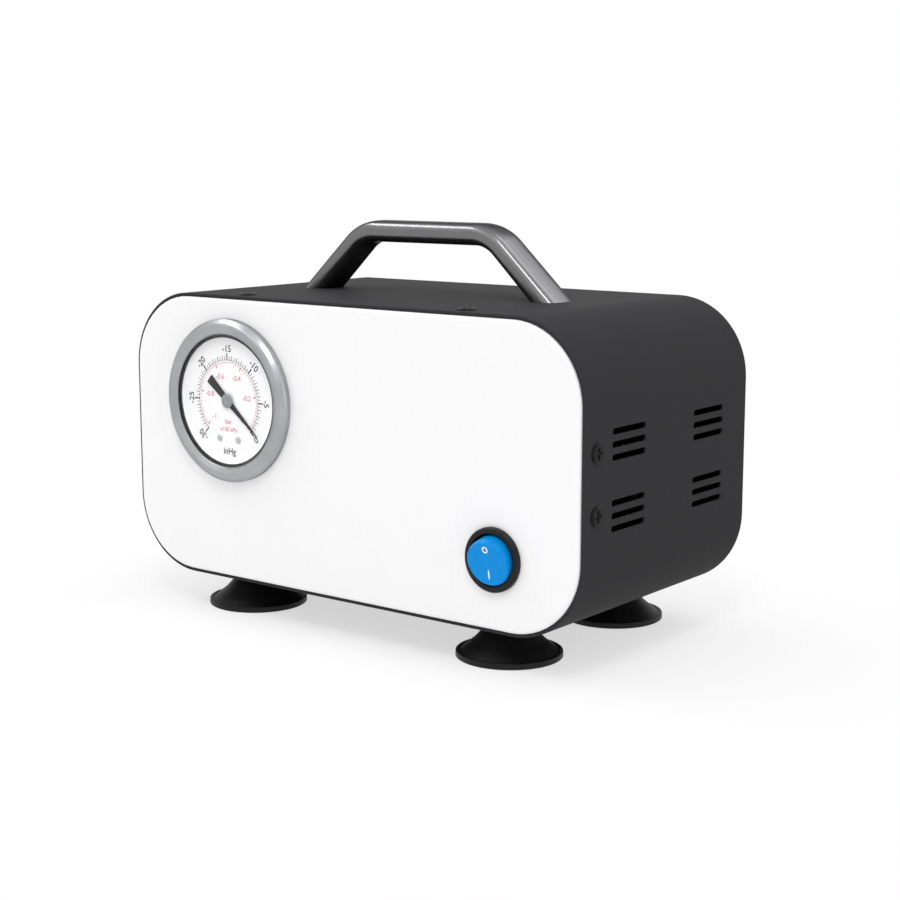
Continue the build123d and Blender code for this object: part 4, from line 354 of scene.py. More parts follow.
# Air-dried black enamel on the motor's can
MOTOR_ENAMEL = Finish("black_motor_enamel", "#1f1f21", "#28282a", 0.0, 0.34, 0.06, 2.0, 0.006)
# Bright zinc plate on the dial's screws, buffed: nearly white where the light falls
BRIGHT_ZINC = Finish("bright_zinc_plate", "#cdd0d3", "#bfc2c5", 1.0, 0.28, 0.06, 1.0, 0.002)
# Painted shade: dull black on the back panel's inside, standing in for the shade inside the case,
# so that nothing pale shows through the vents
PAINTED_SHADE_LINING = Finish(
    "painted_shade_black", "#0c0c0d", "#121213", 0.0, 0.75, 0.05, 1.2, 0.004,
    sockets=(("Specular IOR Level", 0.1),),
)
# Sintered ferrite: dull charcoal with a granular skin
FERRITE = Finish("sintered_ferrite", "#2e2d2f", "#3a393b", 0.0, 0.7, 0.08, 0.5, 0.010)
# Stacked and dipped steel laminations: fine streaks across the stack
LAMINATIONS = Finish(
    "dipped_steel_laminations", "#5a5654", "#7a7674", 0.8, 0.45, 0.10, 0.5, 0.010,
    pattern=Pattern.DRAWN,
)
# Silicone hose: milky, with a satin skin that light enters a little
SILICONE = Finish(
    "milky_silicone", "#dfe1e0", "#d3d6d5", 0.0, 0.38, 0.05, 3.0, 0.004,
    sockets=(("Subsurface Weight", 0.25), ("Subsurface Scale", 0.002)),
)
# Fabric-reinforced rubber: dull black with the cloth's grain just showing
DIAPHRAGM_RUBBER = Finish(
    "reinforced_rubber", "#1b1a1b", "#262526", 0.0, 0.62, 0.06, 0.5, 0.012
)
# Cut red sheet rubber
SHEET_RUBBER = Finish("red_sheet_rubber", "#7a2c24", "#8a352c", 0.0, 0.62, 0.06, 0.8, 0.008)
# Glass-epoxy laminate under solder mask
SOLDER_MASK = Finish("green_solder_mask", "#17512c", "#1c5c33", 0.0, 0.3, 0.06, 1.2, 0.006)
# Potting shells and tape of the board's parts
COMPONENT_SHELL = Finish(
    "moulded_component_shell", "#26262a", "#303034", 0.0, 0.4, 0.08, 1.0, 0.008
)
# Fuse body with glazed ends
GLAZED_CERAMIC = Finish("glazed_ceramic", "#e4e3dc", "#dad9d1", 0.0, 0.2, 0.04, 2.0, 0.002)
# Acetal, machined: black with a waxy sheen
BLACK_ACETAL = Finish("machined_black_acetal", "#202023", "#29292c", 0.0, 0.4, 0.06, 0.6, 0.004)
# Galvanised sheet for the plates inside
GALVANISED_SHEET = Finish(
    "galvanised_sheet", "#a8abad", "#bfc2c4", 1.0, 0.42, 0.10, 5.0, 0.004
)


@dataclass(frozen=True)
class LensGlass:
    """Clear coated glass of the gauge: nearly colourless, its coating keeps reflections faint."""

    title: str = "clear_coated_glass"
    colour: str = "#ffffff"
    roughness: float = 0.02
    ior: float = 1.28
    ripple: float = 25.0
    ripple_height: float = 0.002

    def material(self) -> bpy.types.Material:
        """Gives the glass, made on its first use.

        Returns:
            The material.
        """
        return named_material(self.title, self._surface)

    def _surface(self, tree: bpy.types.NodeTree) -> bpy.types.NodeSocket:
        """Wires the glass, with the slight waves that its surface has.

        Args:
            tree: The material's node tree.

        Returns:
            The surface.
        """
        place = add_node(tree, "TexCoord", {}, {}).outputs["Object"]
        size = {"Scale": 1 / (self.ripple * MM)}
        waves = add_node(tree, "TexNoise", size, {"Vector": place}).outputs[0]
        raised = {"Distance": self.ripple_height * MM}
        bump = add_node(tree, "Bump", raised, {"Height": waves}).outputs[0]
        body = {
            "Base Color": linear(self.colour),
            "Roughness": self.roughness,
            "IOR": self.ior,
            "Transmission Weight": 1.0,
        }
        return add_node(tree, "BsdfPrincipled", body, {"Normal": bump}).outputs[0]


# Shapes, as whole arrays


def arc_path(
    points: list[tuple[float, ...]], radii: list[float], steps: int = 6
) -> np.ndarray:
    """Rounds the inner corners of an open line.

    At a corner with unit directions a and b towards its neighbours, the arc touches both runs
    radius divided by the tangent of half the angle between them from the corner. Its centre lies
    on their bisector.

    Args:
        points: The line's corners.
        radii: A radius for each inner corner, 0 for a sharp one.
        steps: Spans of each arc.

    Returns:
        The rounded line as an array of points.
    """
    line = np.array(points, float)
    rows = [line[:1]]
    for before, corner, after, radius in zip(line, line[1:], line[2:], radii):
        to_before = (before - corner) / np.linalg.norm(before - corner)
        to_after = (after - corner) / np.linalg.norm(after - corner)
        half = math.acos(np.clip(to_before @ to_after, -1, 1)) / 2
        if radius <= 0 or half > math.pi / 2 - 0.01:
            rows.append(corner[None])
            continue
        middle = (to_before + to_after) / np.linalg.norm(to_before + to_after)
        centre = corner + middle * radius / math.sin(half)
        start = corner + to_before * radius / math.tan(half) - centre
        end = corner + to_after * radius / math.tan(half) - centre
        turn = math.acos(np.clip(start @ end / radius**2, -1, 1))
        share = np.linspace(0, 1, steps + 1)[:, None]
        bow = (np.sin((1 - share) * turn) * start + np.sin(share * turn) * end) / math.sin(turn)
        rows.append(centre + bow)
    rows.append(line[-1:])
    return np.concatenate(rows)


def ring_points(radius: float, steps: int) -> np.ndarray:
    """Points of a circle: radius times the cosine and sine of even angles."""
    angle = np.linspace(0, 2 * math.pi, steps, endpoint=False)
    return radius * np.stack([np.cos(angle), np.sin(angle)], axis=1)


def rounded_outline(width: float, height: float, radius: float, steps: int = 14) -> np.ndarray:
    """Closed outline of a rectangle with round corners, anticlockwise from its right side.

    Each corner's points are its arc centre plus the radius times the cosine and sine of angles
    that run through a quarter turn.

    Args:
        width: Overall width.
        height: Overall height.
        radius: Corner radius.
        steps: Spans of each corner.

    Returns:
        The outline's points.
    """
    quarter = np.linspace(0, math.pi / 2, steps + 1)
    rows = []
    for corner, (sx, sz) in enumerate(CORNER_SIGNS):
        angle = quarter + corner * math.pi / 2
        centre = np.array([sx * (width / 2 - radius), sz * (height / 2 - radius)])
        rows.append(centre + radius * np.stack([np.cos(angle), np.sin(angle)], axis=1))
    return np.concatenate(rows)


def edge_round(radius: float, steps: int = 4) -> np.ndarray:
    """Quarter round of an edge, as inset and depth.

    The inset is the radius times one less the sine, and the depth the radius times one less the
    cosine, of an angle that runs through a quarter turn.

    Args:
        radius: Radius of the edge.
        steps: Spans of the arc.

    Returns:
        Rows of inset and depth, from the flat face round to the side.
    """
    angle = np.linspace(0, math.pi / 2, steps + 1)
    return radius * np.stack([1 - np.sin(angle), 1 - np.cos(angle)], axis=1)


@dataclass
class Stand:
    """A local frame: an origin in the pump's millimetres and three unit directions."""

    origin: tuple[float, float, float]
    right: tuple[float, float, float] = (1, 0, 0)
    up: tuple[float, float, float] = (0, 0, 1)
    out: tuple[float, float, float] = (0, 1, 0)

    def place(self, flat: np.ndarray, depth: np.ndarray | float) -> np.ndarray:
        """Puts flat points into the pump: origin plus right, up and out times their amounts.

        Args:
            flat: Points whose last axis holds the amounts of right and up.
            depth: Amounts of out, which broadcast against the points.

        Returns:
            Points in the pump's millimetres.
        """
        far = np.broadcast_to(np.asarray(depth, float), flat.shape[:-1])
        return (
            np.array(self.origin, float)
            + flat[..., :1] * np.array(self.right, float)
            + flat[..., 1:2] * np.array(self.up, float)
            + far[..., None] * np.array(self.out, float)
        )


class MeshDraft:
    """Gathers patches of points, in millimetres, into one mesh."""

    def __init__(self) -> None:
        """Starts with no patches."""
        self._points: list[np.ndarray] = []
        self._faces: list[list[int]] = []
        self._tints: list[int] = []
        self._count = 0

    @property
    def empty(self) -> bool:
        """Whether nothing has been added yet."""
        return self._count == 0

    def patch(
        self,
        grid: np.ndarray,
        wrap: bool = False,
        keep: np.ndarray | None = None,
        tint: int = 0,
    ) -> None:
        """Adds a sheet of four-sided faces between neighbouring rows and columns.

        Args:
            grid: Points by row and column.
            wrap: Joins the last column to the first.
            keep: Which faces to keep, by row and column.
            tint: Number of the finish.
        """
        rows, cols = grid.shape[:2]
        number = np.arange(rows * cols).reshape(rows, cols)
        if wrap:
            number = np.concatenate([number, number[:, :1]], axis=1)
        corners = [number[:-1, :-1], number[:-1, 1:], number[1:, 1:], number[1:, :-1]]
        faces = np.stack(corners, axis=-1)
        chosen = faces[keep] if keep is not None else faces.reshape(-1, 4)
        self.take(grid.reshape(-1, 3), chosen, tint)

    def turned(
        self, stand: Stand, profile: np.ndarray, steps: int = 96, tint: int = 0
    ) -> None:
        """Adds a surface of revolution: each profile radius carried round as a circle at its depth.

        Args:
            stand: Where the axis runs, along its out direction.
            profile: Rows of radius and depth.
            steps: Faces round the axis.
            tint: Number of the finish.
        """
        unit = ring_points(1.0, steps)
        flat = profile[:, None, :1] * unit[None]
        self.patch(stand.place(flat, profile[:, 1][:, None]), wrap=True, tint=tint)

    def loops(
        self, stand: Stand, rows: list[tuple[np.ndarray, float]], tint: int = 0
    ) -> None:
        """Adds a skin over closed outlines with equal numbers of points.

        Args:
            stand: The frame that the outlines are drawn in.
            rows: Each outline with its depth.
            tint: Number of the finish.
        """
        grid = np.stack([stand.place(line, depth) for line, depth in rows])
        self.patch(grid, wrap=True, tint=tint)

    def plate(
        self,
        stand: Stand,
        outline: np.ndarray,
        depth: float,
        holes: tuple[np.ndarray, ...] = (),
        tint: int = 0,
    ) -> None:
        """Adds a flat face inside an outline and round its holes.

        Args:
            stand: The frame that the outline is drawn in.
            outline: The outer line.
            depth: Where the face lies along out.
            holes: Outlines that are left open.
            tint: Number of the finish.
        """
        lines = [outline, *holes]
        rings = [[Vector((x, y, 0)) for x, y in line.tolist()] for line in lines]
        faces = np.array(tessellate_polygon(rings))
        self.take(stand.place(np.concatenate(lines), depth), faces, tint)

    def take(self, points: np.ndarray, faces: np.ndarray, tint: int = 0) -> None:
        """Adds faces that are already in place.

        Args:
            points: Their points.
            faces: Numbers of each face's points, from the first of them.
            tint: Number of the finish.
        """
        self._points.append(points)
        self._faces.extend((faces + self._count).tolist())
        self._tints.extend([tint] * len(faces))
        self._count += len(points)

    def mesh(self, name: str, sharp: float = 35.0) -> bpy.types.Mesh:
        """Makes the mesh, in metres, with its patches sewn together and facing outwards.

        Args:
            name: Name of the mesh.
            sharp: Edges that turn more than this many degrees stay crisp.

        Returns:
            The mesh.
        """
        made = bpy.data.meshes.new(name)
        points = np.concatenate(self._points) * MM
        made.from_pydata(points.tolist(), [], self._faces)
        made.polygons.foreach_set("material_index", self._tints)
        tidy_mesh(made, sharp)
        return made


def tidy_mesh(mesh: bpy.types.Mesh, sharp: float) -> None:
    """Merges doubled points, turns faces outwards and marks the crisp edges.

    Args:
        mesh: The mesh to tidy, in metres.
        sharp: Edges that turn more than this many degrees stay crisp.
    """
    work = bmesh.new()
    work.from_mesh(mesh)
    bmesh.ops.remove_doubles(work, verts=work.verts, dist=0.002 * MM)
    bmesh.ops.dissolve_degenerate(work, edges=work.edges, dist=0.0005 * MM)
    bmesh.ops.recalc_face_normals(work, faces=work.faces)
    work.to_mesh(mesh)
    work.free()
    mesh.shade_smooth()
    mesh.set_sharp_from_angle(angle=math.radians(sharp))


class Solid(NamedTuple):
    """One solid of a CAD node, in millimetres."""

    low: np.ndarray
    high: np.ndarray
    points: np.ndarray
    triangles: np.ndarray


def solids_of(node: bpy.types.Object) -> list[Solid]:
    """Finds the separate solids in a CAD node.

    Every point starts with its own number, and points that share a face take the lowest of their
    numbers, over and over, until nothing changes. Points with one number are one solid.

    Args:
        node: The CAD node's object.

    Returns:
        Each solid's box, its points and its triangles' corners.
    """
    mesh = node.data
    raw = np.zeros(len(mesh.vertices) * 3)
    mesh.vertices.foreach_get("co", raw)
    keys, index = np.unique(np.round(raw.reshape(-1, 3) / MM, 3), axis=0, return_inverse=True)
    corners = np.zeros(len(mesh.loops), int)
    mesh.loops.foreach_get("vertex_index", corners)
    faces = index.reshape(-1)[corners].reshape(-1, 3)
    label = np.arange(len(keys))
    while True:
        lowest = label[faces].min(axis=1)
        fresh = label.copy()
        np.minimum.at(fresh, faces.reshape(-1), np.repeat(lowest, 3))
        if np.array_equal(fresh, label):
            break
        label = fresh
    found = []
    for number in np.unique(label):
        points = keys[label == number]
        mine = faces[label[faces[:, 0]] == number]
        found.append(Solid(points.min(axis=0), points.max(axis=0), points, keys[mine]))
    return found


def split_triangles(corners: np.ndarray, parts: int) -> tuple[np.ndarray, np.ndarray]:
    """Divides every triangle's sides into equal parts, and the triangle into smaller ones.

    A point of the division is the sum of the three corners, each times its share in whole parts.

    Args:
        corners: Triangles by number, corner and coordinate.
        parts: Parts of each side.

    Returns:
        Points by triangle, and faces that count through all of them.
    """
    first, second = np.meshgrid(np.arange(parts + 1), np.arange(parts + 1), indexing="ij")
    inside = first + second <= parts
    shares = np.stack([parts - first - second, first, second], axis=-1)[inside] / parts
    points = np.einsum("sc,tcx->tsx", shares, corners)
    number = np.full(first.shape, -1)
    number[inside] = np.arange(inside.sum())
    here, right, up = number[:-1, :-1], number[1:, :-1], number[:-1, 1:]
    across = number[1:, 1:]
    upright = np.stack([here, right, up], axis=-1).reshape(-1, 3)
    turned = np.stack([right, across, up], axis=-1).reshape(-1, 3)
    small = np.concatenate([upright, turned])
    small = small[(small >= 0).all(axis=1)]
    step = np.arange(len(corners))[:, None, None] * shares.shape[0]
    return points, (small[None] + step).reshape(-1, 3)


@dataclass(frozen=True)
class Round:
    """One many-sided round: its corners' radius, flats, first corner's angle and true radius."""

    corner: float
    flats: int
    start: float
    true: float

    def reach(self, angle: np.ndarray) -> np.ndarray:
        """Radius of the many-sided line: that of its flats over the cosine from a flat's middle."""
        half = math.pi / self.flats
        from_flat = (angle - self.start) % (2 * half) - half
        return self.corner * math.cos(half) / np.cos(from_flat)


@dataclass(frozen=True)
class RoundWork:
    """Turns the many-sided rounds of a piece back into circles about its axis.

    Discs become the circle through their corners, and bores the one that touches their flats.
    """

    axis: int
    parts: int = 4
    sides: tuple[int, ...] = (6, 8, 20)
    near: float = 0.02

    def add(self, draft: MeshDraft, solid: Solid) -> None:
        """Adds one solid with its rounds made round.

        Along each ray from the axis, the many-sided lines are carried to their circles, and what
        lies between two of them goes in proportion.

        Args:
            draft: The mesh that takes it.
            solid: The solid, whose box is centred on its axis.
        """
        flat = [k for k in range(3) if k != self.axis]
        middle = ((solid.low + solid.high) / 2)[flat]
        rounds = self._rounds(solid, flat, middle)
        points, faces = split_triangles(solid.triangles, self.parts)
        away = points[..., flat] - middle
        radius = np.hypot(away[..., 0], away[..., 1])
        angle = np.arctan2(away[..., 1], away[..., 0])
        target = radius.copy()
        inner, inner_true = np.zeros_like(radius), 0.0
        for line in rounds:
            outer = np.maximum(line.reach(angle), inner + self.near)
            share = (radius - inner) / (outer - inner)
            between = (radius >= inner) & (radius <= outer + self.near)
            target = np.where(between, inner_true + share * (line.true - inner_true), target)
            inner, inner_true = outer, line.true
        beyond = radius > inner + self.near
        target = np.where(beyond, radius + inner_true - inner, target)
        scale = target / np.maximum(radius, 1e-9)
        points[..., flat] = middle + away * scale[..., None]
        draft.take(points.reshape(-1, 3), faces)

    def _rounds(self, solid: Solid, flat: list[int], middle: np.ndarray) -> list[Round]:
        """Finds the rounds: radii at which the corner points stand at even angles.

        Args:
            solid: The solid.
            flat: Numbers of the two coordinates across the axis.
            middle: Where the axis lies in them.

        Returns:
            The rounds, the smallest first.
        """
        corners = solid.points[:, flat] - middle
        reach = np.hypot(corners[:, 0], corners[:, 1])
        facing = np.arctan2(corners[:, 1], corners[:, 0])
        walls = solid.triangles[..., flat] - middle
        wall_reach = np.hypot(walls[..., 0], walls[..., 1])
        normal = np.cross(
            solid.triangles[:, 1] - solid.triangles[:, 0],
            solid.triangles[:, 2] - solid.triangles[:, 0],
        )[:, flat]
        outward = (normal * walls.sum(axis=1)).sum(axis=1)
        found: list[Round] = []
        for corner in np.unique(np.round(reach, 2)):
            here = facing[np.abs(reach - corner) < self.near]
            turns = np.unique(np.round(here % (2 * math.pi), 2))
            for count in self.sides:
                pitch = 2 * math.pi / count
                off = (here - here[0] + pitch / 2) % pitch - pitch / 2
                if corner < 0.5 or turns.size not in (count, count + 1) or np.abs(off).max() > 0.02:
                    continue
                if found and corner - found[-1].corner < 2 * self.near:
                    continue
                on_wall = (np.abs(wall_reach - corner) < self.near).all(axis=1)
                bore = outward[on_wall].sum() < 0
                true = corner * math.cos(math.pi / count) if bore else corner
                found.append(Round(corner, count, here[0], true))
        return found


@dataclass(frozen=True)
class Dressing:
    """How a CAD node is dressed that has no piece of its own here.

    A turned piece gives the number of the coordinate that its axes run along, and gets true
    rounds. Faces that look to the front take the inside's finish, where there is one; that
    finish is painted shade, dark where the case's inside lies in shade.
    """

    finish: Finish
    soften: float = 0.0
    turned: int | None = None
    # Painted shade for faces that look to the front, standing in for the shade inside the case
    inside: Finish | None = None


class Bench:
    """Puts finished meshes into the scene, and tells the frame what they stand for."""

    def __init__(self, frame: dict[str, object]) -> None:
        """Keeps the frame, and looks up each node's material slot.
        """
        self.nodes: dict[str, bpy.types.Object] = frame["nodes"]
        self.joints: list[dict[str, object]] = frame["joints"]
        self._slots = {row["node"]: row["material_slot"] for row in frame["record"]["subparts"]}
        self._spoken_for: set[str] = set()

    def box(self, node: str) -> tuple[np.ndarray, np.ndarray]:
        """Lowest and highest corners of a CAD node, in millimetres."""
        low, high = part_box(node)
        return np.array(low) / MM, np.array(high) / MM

    def settle(
        self,
        name: str,
        mesh: bpy.types.Mesh,
        finishes: tuple[Finish | LensGlass, ...],
        nodes: tuple[str, ...] = (),
        body: str = "",
        soften: float = 0.0,
    ) -> bpy.types.Object:
        """Adds one finished piece.

        Args:
            name: The piece's name.
            mesh: Its mesh, in metres and in place.
            finishes: Its finishes, in the order of the mesh's tints.
            nodes: CAD nodes that it stands for.
            body: The body that it rides on, or that of its first node.
            soften: Width of a bevel on its crisp edges, in millimetres.

        Returns:
            The new object.
        """
        piece = bpy.data.objects.new(name, mesh)
        bpy.context.scene.collection.objects.link(piece)
        for finish in finishes:
            mesh.materials.append(finish.material())
        if soften > 0:
            bevel = piece.modifiers.new("softened_edges", "BEVEL")
            bevel.width = soften * MM
            bevel.segments = 2
            bevel.limit_method = "ANGLE"
            bevel.angle_limit = math.radians(40)
            bevel.harden_normals = True
        else:
            even = piece.modifiers.new("even_shading", "WEIGHTED_NORMAL")
            even.keep_sharp = True
        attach(piece, body or self.nodes[nodes[0]]["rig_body"])
        if nodes:
            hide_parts(*nodes)
            self._spoken_for.update(nodes)
        LOG.info("%s: %d faces", name, len(mesh.polygons))
        return piece

    def dress_node(self, node: str, dressing: Dressing) -> None:
        """Replaces a CAD node by a merged, smoothly shaded copy with a finish.

        Args:
            node: Name of the CAD node.
            dressing: How it is dressed.
        """
        if dressing.turned is not None:
            self._dress_turned(node, dressing.finish, dressing.turned)
            return
        mesh = self.nodes[node].data.copy()
        mesh.name = f"{node}_dressed"
        mesh.materials.clear()
        tidy_mesh(mesh, 30.0)
        finishes = (dressing.finish,)
        # Faces that look to the front take the inside's finish: painted shade, a dark coat standing
        # in for the shade inside the case
        if dressing.inside is not None:
            normals = np.zeros(len(mesh.polygons) * 3)
            mesh.polygons.foreach_get("normal", normals)
            shade_painted_faces = normals.reshape(-1, 3)[:, 1] < -0.5
            mesh.polygons.foreach_set("material_index", shade_painted_faces.astype(int))
            finishes = (dressing.finish, dressing.inside)
        self.settle(f"{node}_dressed", mesh, finishes, (node,), soften=dressing.soften)

    def _dress_turned(self, node: str, finish: Finish, axis: int) -> None:
        """Replaces a CAD node by a copy whose many-sided rounds are circles again.

        Args:
            node: Name of the CAD node.
            finish: Its finish.
            axis: Number of the coordinate that its rounds' axes run along.
        """
        draft = MeshDraft()
        for solid in solids_of(self.nodes[node]):
            RoundWork(axis).add(draft, solid)
        name = f"{node}_turned"
        self.settle(name, draft.mesh(name, 28.0), (finish,), (node,))

    def left_over(self) -> list[str]:
        """Names of the CAD nodes that no piece stands for yet."""
        return sorted(set(self.nodes) - self._spoken_for)


# The pump's outside, piece by piece


@dataclass
class SleeveCase:
    """Folded sheet sleeve with three vent slots in each of four groups a side."""

    corner: float = 29.5
    wall: float = 1.2
    edge: float = 0.4
    vent_length: float = 21.3
    vent_width: float = 2.15
    vent_pitch: float = 4.47
    vent_rows: int = 3
    group_y: float = 26.85
    group_z: float = 12.3
    cell_margin: float = 2.0
    corner_steps: int = 22
    post_radius: float = 4.0
    post_bore: float = 1.6
    post_length: float = 9.0
    post_end_inset: float = 3.0

    def build(self, bench: Bench) -> None:
        """Makes the sleeve: outer wall, inner wall, both rims, every slot, and the four posts.

        Args:
            bench: Where the piece is settled.
        """
        low, high = bench.box("shell")
        self._low, self._high = low, high
        self._middle = (low + high) / 2
        draft = MeshDraft()
        loop = self._loop(0.0)
        lines = self._depth_lines()
        inner_loop = self._loop(self.wall)
        for outline in (loop, inner_loop):
            grid = self._wall_grid(outline, lines)
            draft.patch(grid, wrap=True, keep=self._solid_faces(loop, lines))
        for side in (-1, 1):
            for sy in (-1, 1):
                for sz in (-1, 1):
                    for row in range(self.vent_rows):
                        shift = (row - (self.vent_rows - 1) / 2) * self.vent_pitch
                        centre = (sy * self.group_y, sz * self.group_z + shift)
                        draft.patch(self._slot_skin(side, centre), wrap=True)
        for end in (-1, 1):
            draft.patch(self._rim(end), wrap=True)
        self._posts(draft)
        bench.settle("shell_sleeve", draft.mesh("shell_sleeve"), (POWDER_COAT,), ("shell",))

    def _cell_offsets(self) -> np.ndarray:
        """Lines across a slot's cell, closer together beside the slot's round ends."""
        core = (self.vent_length - self.vent_width) / 2
        reach = self.vent_length / 2 + self.cell_margin
        half = np.array([core / 2, core, core + 0.28 * (reach - core), core + 0.6 * (reach - core)])
        return np.concatenate([[-reach], -half[::-1], [0], half, [reach]])

    def _depth_lines(self) -> np.ndarray:
        """Depths of the wall's lines, from the case's middle, with every slot's cell among them."""
        half = (self._high[1] - self._low[1]) / 2 - self.edge
        cells = [sign * self.group_y + self._cell_offsets() for sign in (-1, 1)]
        return np.concatenate([[-half], *cells, [half]])

    def _height_lines(self) -> np.ndarray:
        """Heights of the side wall's lines, from the case's middle, between the two corners."""
        half = (self._high[2] - self._low[2]) / 2 - self.corner
        span = self.vent_rows * self.vent_pitch / 2
        one = np.linspace(-span, span, self.vent_rows * 4 + 1)
        return np.concatenate([[-half], one - self.group_z, one + self.group_z, [half]])

    def _loop(self, inset: float) -> np.ndarray:
        """Cross-section of the sleeve at an inset from its outside, anticlockwise from below right.

        The sides follow the height lines, and each corner is an arc about its own centre.

        Args:
            inset: Distance in from the outside.

        Returns:
            Points across and up from the case's middle.
        """
        half_w = (self._high[0] - self._low[0]) / 2
        half_h = (self._high[2] - self._low[2]) / 2
        side = self._height_lines()
        flat = np.linspace(half_w - self.corner, self.corner - half_w, 4)
        quarter = np.linspace(0, math.pi / 2, self.corner_steps + 1)[1:-1]
        runs = (
            (np.full(side.size, half_w - inset), side),
            (flat, np.full(flat.size, half_h - inset)),
            (np.full(side.size, inset - half_w), side[::-1]),
            (flat[::-1], np.full(flat.size, inset - half_h)),
        )
        rows = []
        for turn, (run, (sx, sz)) in enumerate(zip(runs, CORNER_SIGNS)):
            rows.append(np.stack(run, axis=1))
            angle = quarter + turn * math.pi / 2
            centre = np.array([sx * (half_w - self.corner), sz * (half_h - self.corner)])
            arc = np.stack([np.cos(angle), np.sin(angle)], axis=1)
            rows.append(centre + (self.corner - inset) * arc)
        return np.concatenate(rows)

    def _wall_grid(self, loop: np.ndarray, lines: np.ndarray) -> np.ndarray:
        """Carries a cross-section straight along the depth lines."""
        rows, cols = lines.size, len(loop)
        grid = np.empty((rows, cols, 3))
        grid[..., 0] = self._middle[0] + loop[None, :, 0]
        grid[..., 1] = self._middle[1] + lines[:, None]
        grid[..., 2] = self._middle[2] + loop[None, :, 1]
        return grid

    def _solid_faces(self, loop: np.ndarray, lines: np.ndarray) -> np.ndarray:
        """Marks the wall's faces that lie outside every slot's cell."""
        depth = (lines[:-1] + lines[1:]) / 2
        height = (loop[:, 1] + np.roll(loop[:, 1], -1)) / 2
        side = np.abs(loop[:, 0] + np.roll(loop[:, 0], -1)) / 2
        on_side = side > loop[:, 0].max() - 1e-6
        reach = self.vent_length / 2 + self.cell_margin
        in_depth = np.abs(np.abs(depth) - self.group_y) < reach
        span = self.vent_rows * self.vent_pitch / 2
        in_height = (np.abs(np.abs(height) - self.group_z) < span) & on_side
        return ~(in_depth[:, None] & in_height[None, :])

    def _slot_skin(self, side: int, centre: tuple[float, float]) -> np.ndarray:
        """One slot: from its cell's edge outside, through the wall, to the cell's edge inside.

        For each point of the cell's edge, the nearest point of the slot's centre line is found,
        and the slot's own outline lies from there towards the edge by half its width. The edges
        are rounded by quarter arcs.

        Args:
            side: 1 for the right wall, -1 for the left.
            centre: The slot's depth and height from the case's middle.

        Returns:
            Points by ring and round the slot.
        """
        across = self._cell_offsets()
        up = np.linspace(-self.vent_pitch / 2, self.vent_pitch / 2, 5)
        right, left = np.full(up.size, across[-1]), np.full(up.size, across[0])
        edge = np.concatenate(
            [
                np.stack([right, up], axis=1)[:-1],
                np.stack([across[::-1], np.full(across.size, up[-1])], axis=1)[:-1],
                np.stack([left, up[::-1]], axis=1)[:-1],
                np.stack([across, np.full(across.size, up[0])], axis=1)[:-1],
            ]
        )
        core = (self.vent_length - self.vent_width) / 2
        spine = np.stack([np.clip(edge[:, 0], -core, core), np.zeros(len(edge))], axis=1)
        away = edge - spine
        away /= np.linalg.norm(away, axis=1, keepdims=True)
        turn = edge_round(self.edge, 3)
        deep = turn * [1, -1] + [0, self.wall]
        path = np.concatenate([turn, deep[::-1]])
        rings = spine + (self.vent_width / 2 + path[:, :1])[:, None] * away
        rings = np.concatenate([edge[None], rings, edge[None]])
        inset = np.concatenate([[0], path[:, 1], [self.wall]])
        half_w = (self._high[0] - self._low[0]) / 2
        grid = np.empty((*rings.shape[:2], 3))
        grid[..., 0] = self._middle[0] + side * (half_w - inset[:, None])
        grid[..., 1] = self._middle[1] + centre[0] + rings[..., 0]
        grid[..., 2] = self._middle[2] + centre[1] + rings[..., 1]
        return grid

    def _rim(self, end: int) -> np.ndarray:
        """Rounded edge of the sheet at the front or the rear, from the outside to the inside."""
        turn = edge_round(self.edge, 3)
        outer = turn[::-1]
        inner = turn * [-1, 1] + [self.wall, 0]
        path = np.concatenate([outer, inner])
        half_d = (self._high[1] - self._low[1]) / 2
        loops = [self._loop(inset) for inset in path[:, 0]]
        grid = np.stack([self._wall_grid(loop, np.zeros(1))[0] for loop in loops])
        grid[..., 1] += end * (half_d - path[:, 1][:, None])
        return grid

    def _posts(self, draft: MeshDraft) -> None:
        """Adds the tapped posts in the four corners, which take the rear panel's screws."""
        offset = (self.corner - self.wall - self.post_radius + 0.5) / math.sqrt(2)
        half_w = (self._high[0] - self._low[0]) / 2 - self.corner + offset
        half_h = (self._high[2] - self._low[2]) / 2 - self.corner + offset
        back = self._high[1] - self.post_end_inset
        tube = np.array(
            [
                (self.post_bore, 0),
                (self.post_radius - 0.3, 0),
                (self.post_radius, -0.3),
                (self.post_radius, -self.post_length),
                (self.post_bore, -self.post_length),
                (self.post_bore, 0),
            ]
        )
        for sx in (-1, 1):
            for sz in (-1, 1):
                place = (self._middle[0] + sx * half_w, back, self._middle[2] + sz * half_h)
                draft.turned(Stand(place), tube, steps=32)


